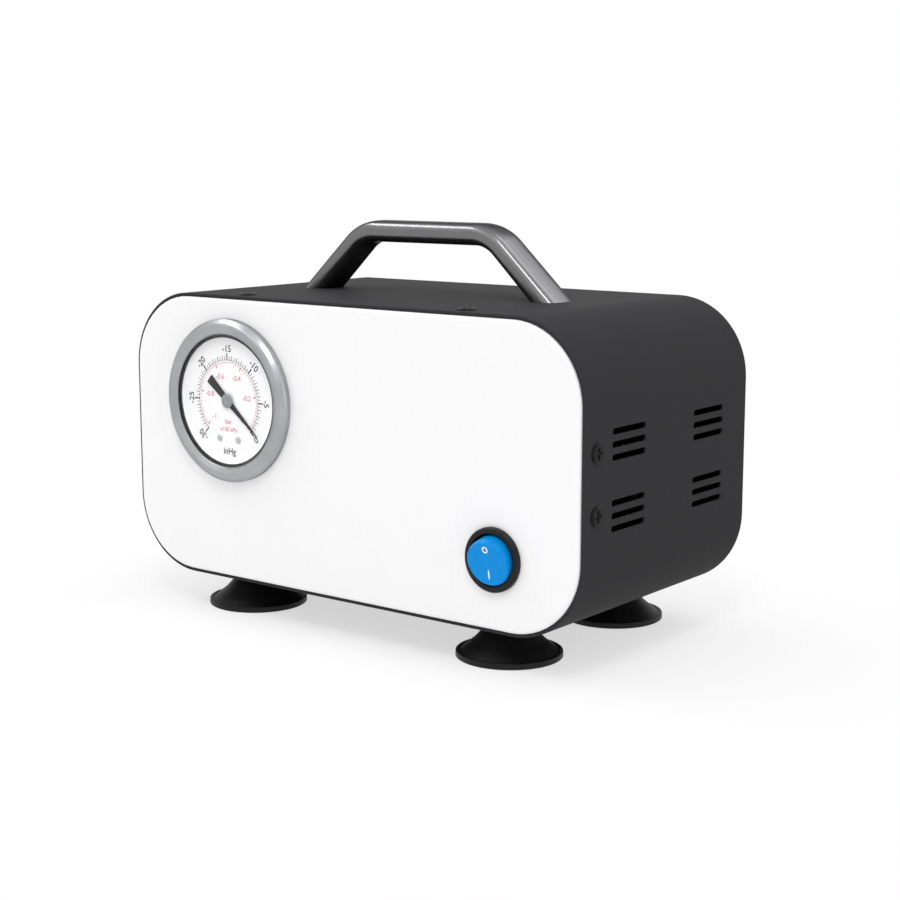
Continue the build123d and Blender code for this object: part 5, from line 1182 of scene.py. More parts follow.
@dataclass
class FrontCap:
    """Moulded front: a flat face with a soft edge, two round openings and a skirt behind."""

    corner: float = 28.15
    edge: float = 1.25
    thickness: float = 3.0
    skirt: float = 1.8
    switch_hole: float = 9.95

    def build(self, bench: Bench, gauge: tuple[float, float], switch: tuple[float, float]) -> None:
        """Makes the cap.

        Args:
            bench: Where the piece is settled.
            gauge: Across and height of the gauge's axis.
            switch: Across and height of the switch's axis.
        """
        low, high = bench.box("front_panel")
        middle = (low + high) / 2
        width, height = high[0] - low[0], high[2] - low[2]
        deep = high[1] - low[1]
        stand = Stand((middle[0], low[1], middle[2]))
        rows = [
            (rounded_outline(width - 2 * inset, height - 2 * inset, self.corner - inset), depth)
            for inset, depth in edge_round(self.edge, 6)
        ]
        inner = rounded_outline(
            width - 2 * self.skirt, height - 2 * self.skirt, self.corner - self.skirt
        )
        rows += [(rows[-1][0], deep), (inner, deep), (inner, self.thickness)]
        draft = MeshDraft()
        draft.loops(stand, rows)
        case_low, case_high = bench.box("gauge_case")
        gauge_hole = (case_high[0] - case_low[0]) / 2 + 0.3
        holes = (
            ring_points(gauge_hole, 96) + np.array(gauge) - middle[[0, 2]],
            ring_points(self.switch_hole, 72) + np.array(switch) - middle[[0, 2]],
        )
        draft.plate(stand, rows[0][0], 0.0, holes)
        draft.plate(stand, inner, self.thickness, holes)
        for hole in holes:
            draft.loops(stand, [(hole, 0.0), (hole, self.thickness)])
        bench.settle("front_cap", draft.mesh("front_cap"), (WHITE_ABS,), ("front_panel",))


@dataclass
class BowHandle:
    """Die-cast bow handle with a soft oval section and straight slanting legs."""

    rise: float = 27.7
    depth: float = 15.3
    foot_out: float = 62.1
    foot_in: float = 49.5
    shoulder_out: float = 32.0
    shoulder_in: float = 29.5
    thickness: float = 8.4
    bend_out: float = 22.0
    bend_in: float = 13.6
    squareness: float = 3.1
    bend_steps: int = 24

    def build(self, bench: Bench) -> None:
        """Makes the bow: at each place along it, a rounded section spans from inside to outside.

        The section is a superellipse: the cosine and sine of an angle, each raised to the power of
        two over its squareness, with their signs kept.

        Args:
            bench: Where the piece is settled.
        """
        low, high = bench.box("handle")
        middle = (low + high) / 2
        outside = self._line(self.foot_out, self.shoulder_out, self.rise, self.bend_out)
        inside = self._line(
            self.foot_in, self.shoulder_in, self.rise - self.thickness, self.bend_in
        )
        angle = np.linspace(0, 2 * math.pi, 128, endpoint=False)
        power = 2 / self.squareness
        along = np.sign(np.cos(angle)) * np.abs(np.cos(angle)) ** power
        across = np.sign(np.sin(angle)) * np.abs(np.sin(angle)) ** power * self.depth / 2
        centre, half = (outside + inside) / 2, (outside - inside) / 2
        flat = centre[:, None] + half[:, None] * along[None, :, None]
        stand = Stand((middle[0], middle[1], low[2]))
        grid = stand.place(flat, across[None, :])
        draft = MeshDraft()
        draft.patch(grid, wrap=True)
        for foot in (grid[0], grid[-1]):
            draft.plate(Stand((0, 0, low[2]), up=(0, 1, 0), out=(0, 0, 1)), foot[:, :2], 0.0)
        bench.settle("bow_handle", draft.mesh("bow_handle", 50), (SATIN_CASTING,), ("handle",))

    def _line(self, foot: float, shoulder: float, rise: float, bend: float) -> np.ndarray:
        """One edge of the bow, from foot to foot over both bends, with even spans in its runs."""
        corners = [(-foot, 0), (-shoulder, rise), (shoulder, rise), (foot, 0)]
        return arc_path(corners, [bend, bend], self.bend_steps)


@dataclass
class SuctionFeet:
    """Four rubber suction cups: a neck that flares to a thin rim, hollow below."""

    radius: float = 19.5
    neck: float = 7.3
    height: float = 14.0
    rim: float = 2.3
    cup: float = 3.8

    def build(self, bench: Bench) -> None:
        """Makes one turned cup under each stud.

        Args:
            bench: Where the piece is settled.
        """
        draft = MeshDraft()
        profile = arc_path(
            [
                (0, self.cup),
                (self.radius * 0.55, self.cup * 0.72),
                (self.radius - 0.9, 0.1),
                (self.radius - 0.5, 0),
                (self.radius, 0.35),
                (self.radius - 0.1, self.rim),
                (self.radius - 0.9, self.rim + 0.2),
                (self.radius - 1.5, self.rim - 0.25),
                (self.neck + 5.6, self.height * 0.44),
                (self.neck + 1.0, self.height * 0.80),
                (self.neck, self.height),
                (0, self.height),
            ],
            [14.0, 0.3, 0.15, 0.2, 0.3, 0.25, 0.3, 14.0, 4.0, 0.3],
            7,
        )
        for low, high, *_ in solids_of(bench.nodes["suction_feet"]):
            middle = (low + high) / 2
            stand = Stand((middle[0], middle[1], low[2]), up=(0, 1, 0), out=(0, 0, 1))
            draft.turned(stand, profile, steps=96)
        mesh = draft.mesh("suction_cups")
        bench.settle("suction_cups", mesh, (FOOT_RUBBER,), ("suction_feet",))


class Drive(Enum):
    """What a screw's head is turned by."""

    CROSS = "a cross recess"
    SLOT = "a straight slot"


@dataclass
class HeadedScrews:
    """Screws with a rounded head and a recess, one for each solid of a fastener node."""

    node: str
    piece: str
    finish: Finish
    drive: Drive = Drive.CROSS
    head_share: float = 1.0
    edge: float = 0.35
    recess_span: float = 0.66
    recess_width: float = 0.19
    recess_depth: float = 0.75
    steps: int = 48

    def build(self, bench: Bench) -> None:
        """Finds each screw's axis and head in the frame, and makes it there.

        The longest side of a solid's box is its axis, and the end with the wider points its head.

        Args:
            bench: Where the piece is settled.
        """
        draft = MeshDraft()
        for low, high, points, _ in solids_of(bench.nodes[self.node]):
            axis = int(np.argmax(high - low))
            middle = (low + high) / 2
            others = [i for i in range(3) if i != axis]
            spread = np.linalg.norm(points[:, others] - middle[others], axis=1)
            wide = points[spread > spread.max() - 0.05, axis]
            sign = 1 if wide.mean() > middle[axis] else -1
            out = np.zeros(3)
            out[axis] = sign
            tip, seat = (low, high) if sign > 0 else (high, low)
            under = wide.min() if sign > 0 else wide.max()
            length = abs(under - tip[axis])
            head = abs(seat[axis] - under) * self.head_share
            narrow = spread[np.abs(points[:, axis] - tip[axis]) < 0.05].max()
            origin = middle.copy()
            origin[axis] = under
            right = np.zeros(3)
            right[others[0]] = 1
            up = np.cross(out, right)
            stand = Stand(tuple(origin), tuple(right), tuple(up), tuple(out))
            self._one(draft, stand, spread.max(), head, narrow, length)
        bench.settle(self.piece, draft.mesh(self.piece), (self.finish,), (self.node,))

    def _recess(self, span: float, width: float) -> np.ndarray:
        """Outline of the recess, with as many points as the head's circles.

        Points are shared out evenly by number between the outline's corners.

        Args:
            span: Length of the recess across the head.
            width: Width of its slot.

        Returns:
            The outline's points.
        """
        a, b = span / 2, width / 2
        if self.drive is Drive.CROSS:
            quarter = np.array([(a, 0), (a, b), (b, b), (b, a)])
            turns = [quarter]
            for _ in range(3):
                turns.append(np.stack([-turns[-1][:, 1], turns[-1][:, 0]], axis=1))
            corners = np.concatenate([*turns, quarter[:1]])
        else:
            half = np.array([(a, 0), (a, b), (0, b), (-a, b)])
            corners = np.concatenate([half, -half, half[:1]])
        where = np.linspace(0, len(corners) - 1, self.steps, endpoint=False)
        count = np.arange(len(corners))
        return np.stack([np.interp(where, count, corners[:, k]) for k in (0, 1)], axis=1)

    def _one(
        self,
        draft: MeshDraft,
        stand: Stand,
        head_radius: float,
        head: float,
        shank_radius: float,
        length: float,
    ) -> None:
        """Adds one screw: turned shank and head, then the recess down from the crown."""
        turned = arc_path(
            [
                (0, -length),
                (shank_radius - 0.3, -length),
                (shank_radius, 0.3 - length),
                (shank_radius, 0),
                (head_radius - 0.05, 0),
                (head_radius, head * self.edge),
                (head_radius * 0.8, head * 0.93),
                (head_radius * 0.45, head),
            ],
            [0, 0, 0, 0.05, head * 0.3, head * 0.6],
            5,
        )
        unit = ring_points(1.0, self.steps)
        rows = [(radius * unit, depth) for radius, depth in turned]
        span = 2 * head_radius * self.recess_span
        width = 2 * head_radius * self.recess_width
        deep = head * (1 - self.recess_depth)
        rows[-1] = (head_radius * 0.72 * unit, head * 0.97)
        rows += [
            (self._recess(span, width), head * 0.985),
            (self._recess(span * 0.94, width * 0.85), head * 0.85),
            (self._recess(span * 0.5, width * 0.7), deep),
            (self._recess(span * 0.02, width * 0.1), deep - 0.05),
        ]
        draft.loops(stand, rows)
        draft.plate(stand, rows[-1][0], rows[-1][1])


@dataclass
class VacuumGauge:
    """Gauge set in the front: spun bezel, glass, black ring, enamelled dial, and its pointer.

    Ticks are given as length and width. The red scale spans a little less than the black one,
    because 1 bar is less than 30 inches of mercury.
    """

    scale_radius: float = 15.7
    black_steps: int = 60
    red_steps: int = 50
    red_span: float = 0.984
    tick_minor: tuple[float, float] = (1.35, 0.2)
    tick_unit: tuple[float, float] = (1.75, 0.26)
    tick_major: tuple[float, float] = (2.6, 0.55)
    numeral_radius: float = 19.9
    numeral_size: float = 2.7
    red_minor: tuple[float, float] = (0.675, 0.12)
    red_major: tuple[float, float] = (1.5, 0.45)
    red_numeral_radius: float = 10.0
    red_numeral_size: float = 2.1
    boldness: float = 0.11
    sweep: float = 270.0
    zero_angle: float = -44.0
    ink: float = 0.03
    pointer_tip: float = 19.8
    pointer_tail: float = 12.5
    pointer_rest: float = -40.0
    hub: float = 2.8
    lip: float = 0.5
    ring_bore: float = 24.4

    def build(self, bench: Bench) -> None:
        """Makes every piece of the gauge that shows.

        Args:
            bench: Where the pieces are settled.
        """
        joint = next(j for j in bench.joints if j["name"] == "pointer_turn")
        x, _, z = (v / MM for v in joint["pos_m"])
        self.axis = (x, z)
        self._bezel(bench)
        self._lens(bench)
        self._ring(bench)
        self._dial(bench)
        self._print(bench)
        self._pointer(bench)
        slotted = HeadedScrews("gauge_dial_screws", "dial_screw_pair", BRIGHT_ZINC, Drive.SLOT)
        slotted.build(bench)

    def _stand(self, depth: float) -> Stand:
        """The gauge's own frame at a depth."""
        return Stand((self.axis[0], depth, self.axis[1]))

    def _bezel(self, bench: Bench) -> None:
        """Spun ring: a straight side, a broad rounded rim, and a slope down to the glass."""
        low, high = bench.box("gauge_bezel")
        outer = (high[0] - low[0]) / 2
        deep = high[1] - low[1]
        profile = arc_path(
            [
                (outer - 2.4, deep),
                (outer, deep),
                (outer, 2.1),
                (outer - 1.9, 0.0),
                (outer - 3.6, 0.1),
                (outer - 6.1, 1.15),
                (outer - 6.1, 1.6),
                (outer - 2.4, 1.6),
                (outer - 2.4, deep),
            ],
            [0.15, 1.6, 1.9, 3.0, 0.2, 0.1, 0.1],
            8,
        )
        draft = MeshDraft()
        draft.turned(self._stand(low[1]), profile, steps=160)
        mesh = draft.mesh("bezel_ring", 60)
        bench.settle("bezel_ring", mesh, (SPUN_STEEL,), ("gauge_bezel",))

    def _lens(self, bench: Bench) -> None:
        """Glass disc with a ground edge."""
        low, high = bench.box("gauge_lens")
        radius, deep = (high[0] - low[0]) / 2, high[1] - low[1]
        edge = 0.2
        radii = [0, radius - edge, radius, radius, radius - edge, 0]
        depths = [0, 0, edge, deep - edge, deep, deep]
        draft = MeshDraft()
        draft.turned(self._stand(low[1]), np.stack([radii, depths], axis=1), steps=128)
        lens = bench.settle("lens_disc", draft.mesh("lens_disc"), (LensGlass(),), ("gauge_lens",))
        lens.visible_shadow = False

    def _ring(self, bench: Bench) -> None:
        """Spacer between the glass and the dial: a black face, and an enamelled wall behind it."""
        low, high = bench.box("gauge_ring")
        outer, deep = (high[0] - low[0]) / 2, high[1] - low[1]
        inner = self.ring_bore
        edge = 0.15
        radii = [inner, inner, inner + edge, outer, outer]
        face = np.stack([radii, [self.lip, edge, 0, 0, deep]], axis=1)
        wall = np.array([(outer, deep), (inner, deep), (inner, self.lip)])
        draft = MeshDraft()
        draft.turned(self._stand(low[1]), face, steps=128)
        draft.turned(self._stand(low[1]), wall, steps=128, tint=1)
        mesh = draft.mesh("spacer_ring")
        bench.settle("spacer_ring", mesh, (BLACK_NYLON, DIAL_ENAMEL), ("gauge_ring",))

    def _dial(self, bench: Bench) -> None:
        """Enamelled disc with a hole for the arbor."""
        low, high = bench.box("gauge_dial")
        radius, deep = (high[0] - low[0]) / 2, high[1] - low[1]
        profile = np.array([(1.2, 0), (radius, 0), (radius, deep), (1.2, deep), (1.2, 0)])
        draft = MeshDraft()
        draft.turned(self._stand(low[1]), profile, steps=128)
        self.dial_front = low[1]
        bench.settle("dial_disc", draft.mesh("dial_disc"), (DIAL_ENAMEL,), ("gauge_dial",))

    def _angle(self, share: float) -> float:
        """Angle of a point of the scale, where 0 is its zero and 1 its far end."""
        return math.radians(self.zero_angle + share * self.sweep)

    def _bar(
        self, draft: MeshDraft, share: float, inner: float, outer: float, width: float
    ) -> None:
        """Adds one printed stroke along a radius, as a thin slab.

        Args:
            draft: The mesh that takes it.
            share: Its place on the scale, from 0 to 1.
            inner: Radius at which it starts.
            outer: Radius at which it ends.
            width: Its width.
        """
        angle = self._angle(share)
        out = np.array([math.cos(angle), math.sin(angle)])
        side = np.array([-out[1], out[0]]) * width / 2
        near, far = inner * out, outer * out
        line = np.array([near - side, far - side, far + side, near + side])
        stand = self._stand(self.dial_front)
        draft.loops(stand, [(line, 0.0), (line, -self.ink)])
        draft.plate(stand, line, 0.0)
        draft.plate(stand, line, -self.ink)

    def _band(self, draft: MeshDraft, radius: float, width: float) -> None:
        """Adds one printed arc over the whole scale, as a thin slab."""
        angle = np.array([self._angle(share) for share in np.linspace(0, 1, 121)])
        unit = np.stack([np.cos(angle), np.sin(angle)], axis=1)
        outer = radius + width
        path = [(radius, 0), (outer, 0), (outer, -self.ink), (radius, -self.ink), (radius, 0)]
        stand = self._stand(self.dial_front)
        draft.patch(np.stack([stand.place(r * unit, d) for r, d in path]))

    def _print(self, bench: Bench) -> None:
        """Prints both scales: black strokes and numerals outside, red ones inside."""
        black, red, pale = MeshDraft(), MeshDraft(), MeshDraft()
        for step in range(self.black_steps + 1):
            length, width = self.tick_minor
            if step % 2 == 0:
                length, width = self.tick_unit
            if step % 10 == 0:
                length, width = self.tick_major
            share = step / self.black_steps
            self._bar(black, share, self.scale_radius, self.scale_radius + length, width)
        self._band(black, self.scale_radius - 0.1, 0.17)
        self._band(red, self.scale_radius - 0.85, 0.12)
        outer = self.scale_radius - 0.8
        for step in range(self.red_steps + 1):
            length, width = self.red_major if step % 10 == 0 else self.red_minor
            share = step * self.red_span / self.red_steps
            self._bar(red, share, outer - length, outer, width)
        black_text = []
        for k, word in enumerate(("0", "-5", "-10", "-15", "-20", "-25", "-30")):
            angle = self._angle(k * 5 / 30)
            place = self._around(self.numeral_radius, angle)
            black_text.append(self._word(word, place, self.numeral_size, angle - math.pi / 2))
        red_text = []
        for k, word in enumerate(("0", "-0.2", "-0.4", "-0.6", "-0.8", "-1")):
            place = self._around(self.red_numeral_radius, self._angle(k * self.red_span / 5))
            red_text.append(self._word(word, place, self.red_numeral_size))
        red_text.append(self._word("bar", (-0.3, -8.2), 2.0))
        red_text.append(self._word("x100 kPa", (-0.2, -11.2), 1.8))
        black_text.append(self._word("inHg", (0.2, -19.7), 2.6))
        for name, draft, words, ink, slot in (
            ("dial_print_black", black, black_text, BLACK_INK, "pointer_black"),
            ("dial_print_red", red, [], RED_INK, "dial_white"),
            ("dial_print_pale", pale, red_text, PALE_RED_INK, "dial_white"),
        ):
            mesh = self._joined(name, draft, words)
            bench.settle(name, mesh, (ink,), body="root")

    def _around(self, radius: float, angle: float) -> tuple[float, float]:
        """Point at a radius and an angle: the radius times the angle's cosine and sine."""
        return radius * math.cos(angle), radius * math.sin(angle)

    def _word(
        self, word: str, place: tuple[float, float], size: float, turn: float = 0.0
    ) -> bpy.types.Mesh:
        """Letters on the dial as a thin slab.

        Args:
            word: What is printed.
            place: Across and up from the gauge's axis.
            size: Height of the letters.
            turn: Turn anticlockwise, in radians.

        Returns:
            The letters' mesh, in metres and in place.
        """
        text = bpy.data.curves.new(f"letters_{word}", "FONT")
        text.body = word
        text.size = size * MM * 1.35
        text.align_x, text.align_y = "CENTER", "CENTER"
        text.extrude = self.ink * MM / 2
        text.offset = self.boldness * MM / 2
        text.resolution_u = 4
        holder = bpy.data.objects.new(f"letters_{word}", text)
        bpy.context.scene.collection.objects.link(holder)
        bpy.context.view_layer.update()
        seen = holder.evaluated_get(bpy.context.evaluated_depsgraph_get())
        mesh = bpy.data.meshes.new_from_object(seen)
        bpy.data.objects.remove(holder)
        spin = Euler((math.pi / 2, 0, 0)).to_matrix() @ Euler((0, 0, turn)).to_matrix()
        mesh.transform(spin.to_4x4())
        count = len(mesh.vertices)
        raw = np.zeros(count * 3)
        mesh.vertices.foreach_get("co", raw)
        moved = raw.reshape(-1, 3) + np.array(
            [
                (self.axis[0] + place[0]) * MM,
                (self.dial_front - self.ink / 2) * MM,
                (self.axis[1] + place[1]) * MM,
            ]
        )
        mesh.vertices.foreach_set("co", moved.reshape(-1))
        return mesh

    def _joined(
        self, name: str, strokes: MeshDraft, words: list[bpy.types.Mesh]
    ) -> bpy.types.Mesh:
        """Joins printed strokes and letters into one mesh."""
        work = bmesh.new()
        if not strokes.empty:
            work.from_mesh(strokes.mesh(f"{name}_strokes"))
        for part in words:
            work.from_mesh(part)
        bmesh.ops.remove_doubles(work, verts=work.verts, dist=0.0005 * MM)
        made = bpy.data.meshes.new(name)
        work.to_mesh(made)
        work.free()
        return made

    def _pointer(self, bench: Bench) -> None:
        """Needle with a broad tail, and the turned hub over it."""
        low, high = bench.box("gauge_pointer")
        turn = math.radians(self.pointer_rest)
        right = (math.cos(turn), 0.0, math.sin(turn))
        up = (-math.sin(turn), 0.0, math.cos(turn))
        origin = (self.axis[0], high[1], self.axis[1])
        stand = Stand(origin, right, up, (0, -1, 0))
        half = [
            (self.pointer_tip, 0.12),
            (self.hub, 1.15),
            (-self.hub, 1.3),
            (-self.pointer_tail + 0.2, 1.85),
            (-self.pointer_tail, 1.65),
        ]
        line = np.array(half + [(x, -y) for x, y in half[::-1]])
        inset = line * np.array([0.996, 0.86])
        draft = MeshDraft()
        draft.loops(stand, [(line, 0.0), (line, 0.22), (inset, 0.33)])
        draft.plate(stand, line, 0.0)
        draft.plate(stand, inset, 0.33)
        mesh = draft.mesh("pointer_needle")
        bench.settle("pointer_needle", mesh, (POINTER_LACQUER,), ("gauge_pointer",))
        tall = high[1] - low[1]
        cap = arc_path(
            [
                (0, 0.36),
                (self.hub, 0.36),
                (self.hub, tall - 0.22),
                (self.hub - 0.45, tall - 0.02),
                (1.3, tall - 0.02),
                (0.9, tall - 0.3),
                (0, tall - 0.3),
            ],
            [0, 0.05, 0.1, 0.05, 0.1],
            4,
        )
        hub = MeshDraft()
        hub.turned(stand, cap, steps=72)
        mesh = hub.mesh("pointer_hub")
        bench.settle("pointer_hub", mesh, (TURNED_HUB,), body="pointer")


@dataclass
class RockerSwitch:
    """Round rocker switch: a black bezel with a well, and a hollow blue button that tips in it."""

    bezel_edge: float = 0.9
    well: float = 9.25
    well_depth: float = 7.6
    barrel: float = 9.9
    button: float = 8.6
    button_edge: float = 0.45
    swing: float = 9.05
    face: float = 4.0
    ends_rise: float = 0.3
    hollow: float = 90.0
    tilt: float = 12.5
    back: float = 3.5
    pin_radius: float = 1.2
    pin_reach: float = 1.2
    mark_height: float = 0.04
    mark_stroke: float = 0.5

    def build(self, bench: Bench) -> None:
        """Makes the bezel with its well, the button and its two marks.

        Args:
            bench: Where the pieces are settled.
        """
        joint = next(j for j in bench.joints if j["name"] == "rocker_tilt")
        self.pivot = tuple(v / MM for v in joint["pos_m"])
        self._body(bench)
        self._button(bench)

    def _body(self, bench: Bench) -> None:
        """Turned body: flange with a soft edge, well, and the barrel behind the panel."""
        low, high = bench.box("switch_body")
        flange = (high[0] - low[0]) / 2
        front = low[1]
        panel = self.pivot[1] - front
        floor = panel + self.well_depth
        profile = arc_path(
            [
                (0, floor),
                (self.well, floor),
                (self.well, 0.0),
                (flange, 0.0),
                (flange, panel),
                (self.barrel, panel),
                (self.barrel, high[1] - front),
                (0, high[1] - front),
            ],
            [0.3, 0.35, self.bezel_edge, 0.1, 0.2, 0.6],
            7,
        )
        draft = MeshDraft()
        draft.turned(Stand((self.pivot[0], front, self.pivot[2])), profile, steps=128)
        mesh = draft.mesh("switch_bezel", 50)
        bench.settle("switch_bezel", mesh, (BLACK_NYLON,), ("switch_body",))

    def _hollow(self, up: np.ndarray) -> np.ndarray:
        """Height of the button's face: a shallow cylinder across it, lowest at the middle."""
        return self.face + self.hollow - np.sqrt(self.hollow**2 - up**2)

    def _stand(self) -> Stand:
        """The button's own frame: out of its face, tipped back at the top."""
        turn = math.radians(self.tilt)
        return Stand(
            self.pivot,
            (1, 0, 0),
            (0, -math.sin(turn), math.cos(turn)),
            (0, -math.cos(turn), -math.sin(turn)),
        )

    def _button(self, bench: Bench) -> None:
        """Button: nearly round in plan, with a hollow face.

        At each height the outline is an ellipse whose reach up and down stays within the swing's
        circle: the square root of the swing squared less the height squared.
        """
        stand = self._stand()
        unit = ring_points(1.0, 128)
        edge = self.button_edge
        rows = []
        for height in np.linspace(-self.back, self.face - edge, 9):
            limit = math.sqrt(self.swing**2 - height**2)
            line = unit * [self.button, min(limit, self.button)]
            rows.append(stand.place(line, height))
        top = math.sqrt(self.swing**2 - (self.face + self.ends_rise) ** 2)
        for inset, drop in edge_round(edge, 5)[::-1]:
            line = unit * [self.button - inset, top - inset]
            rows.append(stand.place(line, self._hollow(line[:, 1]) - drop))
        rim = unit * [self.button - edge, top - edge]
        for share in np.linspace(1, 0, 12)[1:]:
            line = rim * share
            rows.append(stand.place(line, self._hollow(line[:, 1])))
        deep = math.sqrt(self.swing**2 - self.back**2)
        draft = MeshDraft()
        draft.patch(np.stack(rows), wrap=True)
        draft.plate(stand, unit * [self.button, min(deep, self.button)], -self.back)
        reach = self.button + self.pin_reach
        radii = [0, self.pin_radius, self.pin_radius, 0]
        pin = np.stack([radii, [-reach, -reach, reach, reach]], axis=1)
        draft.turned(Stand(self.pivot, (0, 1, 0), (0, 0, 1), (1, 0, 0)), pin, steps=32)
        mesh = draft.mesh("rocker_face", 40)
        bench.settle("rocker_face", mesh, (BLUE_POLYCARBONATE,), ("rocker_button",))
        marks = MeshDraft()
        self._mark(marks, stand, (0.0, 5.3), (0.95, 1.0))
        self._mark(marks, stand, (0.3, -3.9), (0.03, 1.6))
        mesh = marks.mesh("rocker_marks")
        bench.settle("rocker_marks", mesh, (WHITE_INK,), body="rocker")

    def _mark(
        self,
        draft: MeshDraft,
        stand: Stand,
        centre: tuple[float, float],
        size: tuple[float, float],
    ) -> None:
        """Adds a printed oval stroke that follows the hollow face.

        Args:
            draft: The mesh that takes it.
            stand: The button's frame.
            centre: Across and up from the button's middle.
            size: Half width and half height of the stroke's middle line.
        """
        unit = ring_points(1.0, 48)
        rows = []
        for reach, lift in ((-0.5, -0.1), (-0.5, 1), (0.5, 1), (0.5, -0.1), (-0.5, -0.1)):
            extent = np.maximum(np.array(size) + reach * self.mark_stroke, 0.001)
            line = np.array(centre) + unit * extent
            rows.append(stand.place(line, self._hollow(line[:, 1]) + lift * self.mark_height))
        draft.patch(np.stack(rows), wrap=True)


@dataclass
class HosePorts:
    """Two barbed hose fittings with hexagons, turned from bar."""

    barb: float = 4.4
    root: float = 3.7
    hexagon: float = 14.0
    hex_thick: float = 4.0
    neck: float = 3.0
    pitch: float = 5.0
    land: float = 1.0
    barbs: int = 3
    thread: float = 4.8
    thread_length: float = 10.0
    stem: float = 3.0
    bore: float = 1.8

    def build(self, bench: Bench) -> None:
        """Makes both fittings where the frame has them.

        Args:
            bench: Where the piece is settled.
        """
        draft = MeshDraft()
        face = bench.box("rear_panel")[1][1]
        for low, high, *_ in solids_of(bench.nodes["port_fittings"]):
            middle = (low + high) / 2
            stand = Stand((middle[0], face, middle[2]))
            self._one(draft, stand, low[1] - face, high[1] - face)
        mesh = draft.mesh("hose_fittings")
        bench.settle("hose_fittings", mesh, (NICKEL_PLATE,), ("port_fittings",))

    def _one(self, draft: MeshDraft, stand: Stand, inside: float, outside: float) -> None:
        """Adds one fitting: its turned body with barbs, and the hexagon's chamfered ring.

        The hexagon's line is its half width over the cosine of the angle from a flat's middle,
        and its corners are cut off by a circle.

        Args:
            draft: The mesh that takes it.
            stand: Where it stands on the rear panel's face.
            inside: Depth of its inner end.
            outside: Depth of its outer end.
        """
        start = self.hex_thick
        line = [(self.bore, inside)]
        radii = []
        if inside < -self.thread_length - 0.5:
            line += [(self.stem, inside), (self.stem, -self.thread_length)]
            radii += [0.2, 0.2]
        line += [(self.thread, -self.thread_length), (self.thread, 0.0)]
        radii += [0.3, 0.0]
        circle = self.hexagon / 2 * 1.1
        body = [(self.root, start), (self.root, start + self.neck)]
        for ridge in range(self.barbs):
            foot = start + self.neck + ridge * self.pitch
            body += [(self.barb, foot), (self.barb, foot + self.land)]
            body.append((self.root, foot + self.pitch))
        body += [(self.bore, outside)]
        skin = arc_path(line, radii, 3)
        between, last = [0.08, 0.15, 0.2], [0.08, 0.15, 0.4]
        barbs = arc_path(body, [0.3, 0.3] + between * (self.barbs - 1) + last, 3)
        steps = 96
        unit = ring_points(1.0, steps)
        angle = np.linspace(0, 2 * math.pi, steps, endpoint=False)
        sector = (angle + math.pi / 6) % (math.pi / 3) - math.pi / 6
        flat = self.hexagon / 2 / np.cos(sector)
        rows = [(radius * unit, depth) for radius, depth in skin]
        edge = 0.35
        reaches = (circle - 0.5, circle, circle, circle - 0.6)
        for depth, reach in zip((0.0, edge, start - edge, start), reaches):
            rows.append((np.minimum(flat, reach)[:, None] * unit, depth))
        rows += [(radius * unit, depth) for radius, depth in barbs]
        rows.append((self.bore * unit, inside))
        draft.loops(stand, rows)


@dataclass
class HoseSet:
    """Hoses inside the case, each pushed over a stem at both ends."""

    radius: float = 5.0
    bore: float = 3.05
    lead: float = 16.0
    bend_share: float = 0.45
    bend_steps: int = 14
    steps: int = 32

    def build(self, bench: Bench) -> None:
        """Sweeps each hose along its route, found from its solid's box.

        Args:
            bench: Where the piece is settled.
        """
        draft = MeshDraft()
        for low, high, *_ in solids_of(bench.nodes["hoses"]):
            draft.patch(self._tube(self._route(low, high)), wrap=True)
        bench.settle("silicone_hoses", draft.mesh("silicone_hoses"), (SILICONE,), ("hoses",))

    def _route(self, low: np.ndarray, high: np.ndarray) -> np.ndarray:
        """Middle line of a hose, with its bends rounded.

        The gauge's hose leaves and arrives straight along the depth at two heights, the exhaust's
        turns once at one height, and the pump head's runs straight across.

        Args:
            low: Lowest corner of the hose's box.
            high: Highest corner of the hose's box.

        Returns:
            The middle line's points.
        """
        near, far = low + self.radius, high - self.radius
        if far[2] - near[2] > 1:
            points = [
                (near[0], high[1], far[2]),
                (near[0], high[1] - self.lead, far[2]),
                (far[0], low[1] + self.lead, near[2]),
                (far[0], low[1], near[2]),
            ]
        elif far[1] - near[1] > 1:
            points = [
                (low[0], near[1], near[2]),
                (far[0], near[1], near[2]),
                (far[0], high[1], near[2]),
            ]
        else:
            points = [(low[0], near[1], near[2]), (high[0], near[1], near[2])]
        line = np.array(points, float)
        runs = np.linalg.norm(np.diff(line, axis=0), axis=1)
        way = np.diff(line, axis=0) / runs[:, None]
        half = np.arccos(np.clip((way[:-1] * way[1:]).sum(axis=1), -1, 1)) / 2
        bends = self.bend_share * np.minimum(runs[:-1], runs[1:]) / np.tan(half)
        return arc_path(points, bends.tolist(), self.bend_steps)

    def _tube(self, line: np.ndarray) -> np.ndarray:
        """Carries the hose's wall along a line: out, along, in through the bore and back.

        Each ring lies square to the line: one of its directions is the line's own crossed with
        the vertical, and the other is that one crossed with the line's.

        Args:
            line: Points of the middle line.

        Returns:
            Points by ring and round the hose.
        """
        way = np.gradient(line, axis=0)
        way /= np.linalg.norm(way, axis=1, keepdims=True)
        aside = np.cross(way, (0.0, 0.0, 1.0))
        aside /= np.linalg.norm(aside, axis=1, keepdims=True)
        above = np.cross(aside, way)
        unit = ring_points(1.0, self.steps)
        ring = unit[None, :, :1] * aside[:, None] + unit[None, :, 1:] * above[:, None]
        outside = line[:, None] + self.radius * ring
        inside = line[:, None] + self.bore * ring
        return np.concatenate([outside, inside[::-1], outside[:1]])


# Light, floor and camera


class Lamp(NamedTuple):
    """A softbox that faces the pump: its place and size in metres, and its watts."""

    name: str
    place: tuple[float, float, float]
    size: tuple[float, float]
    power: float


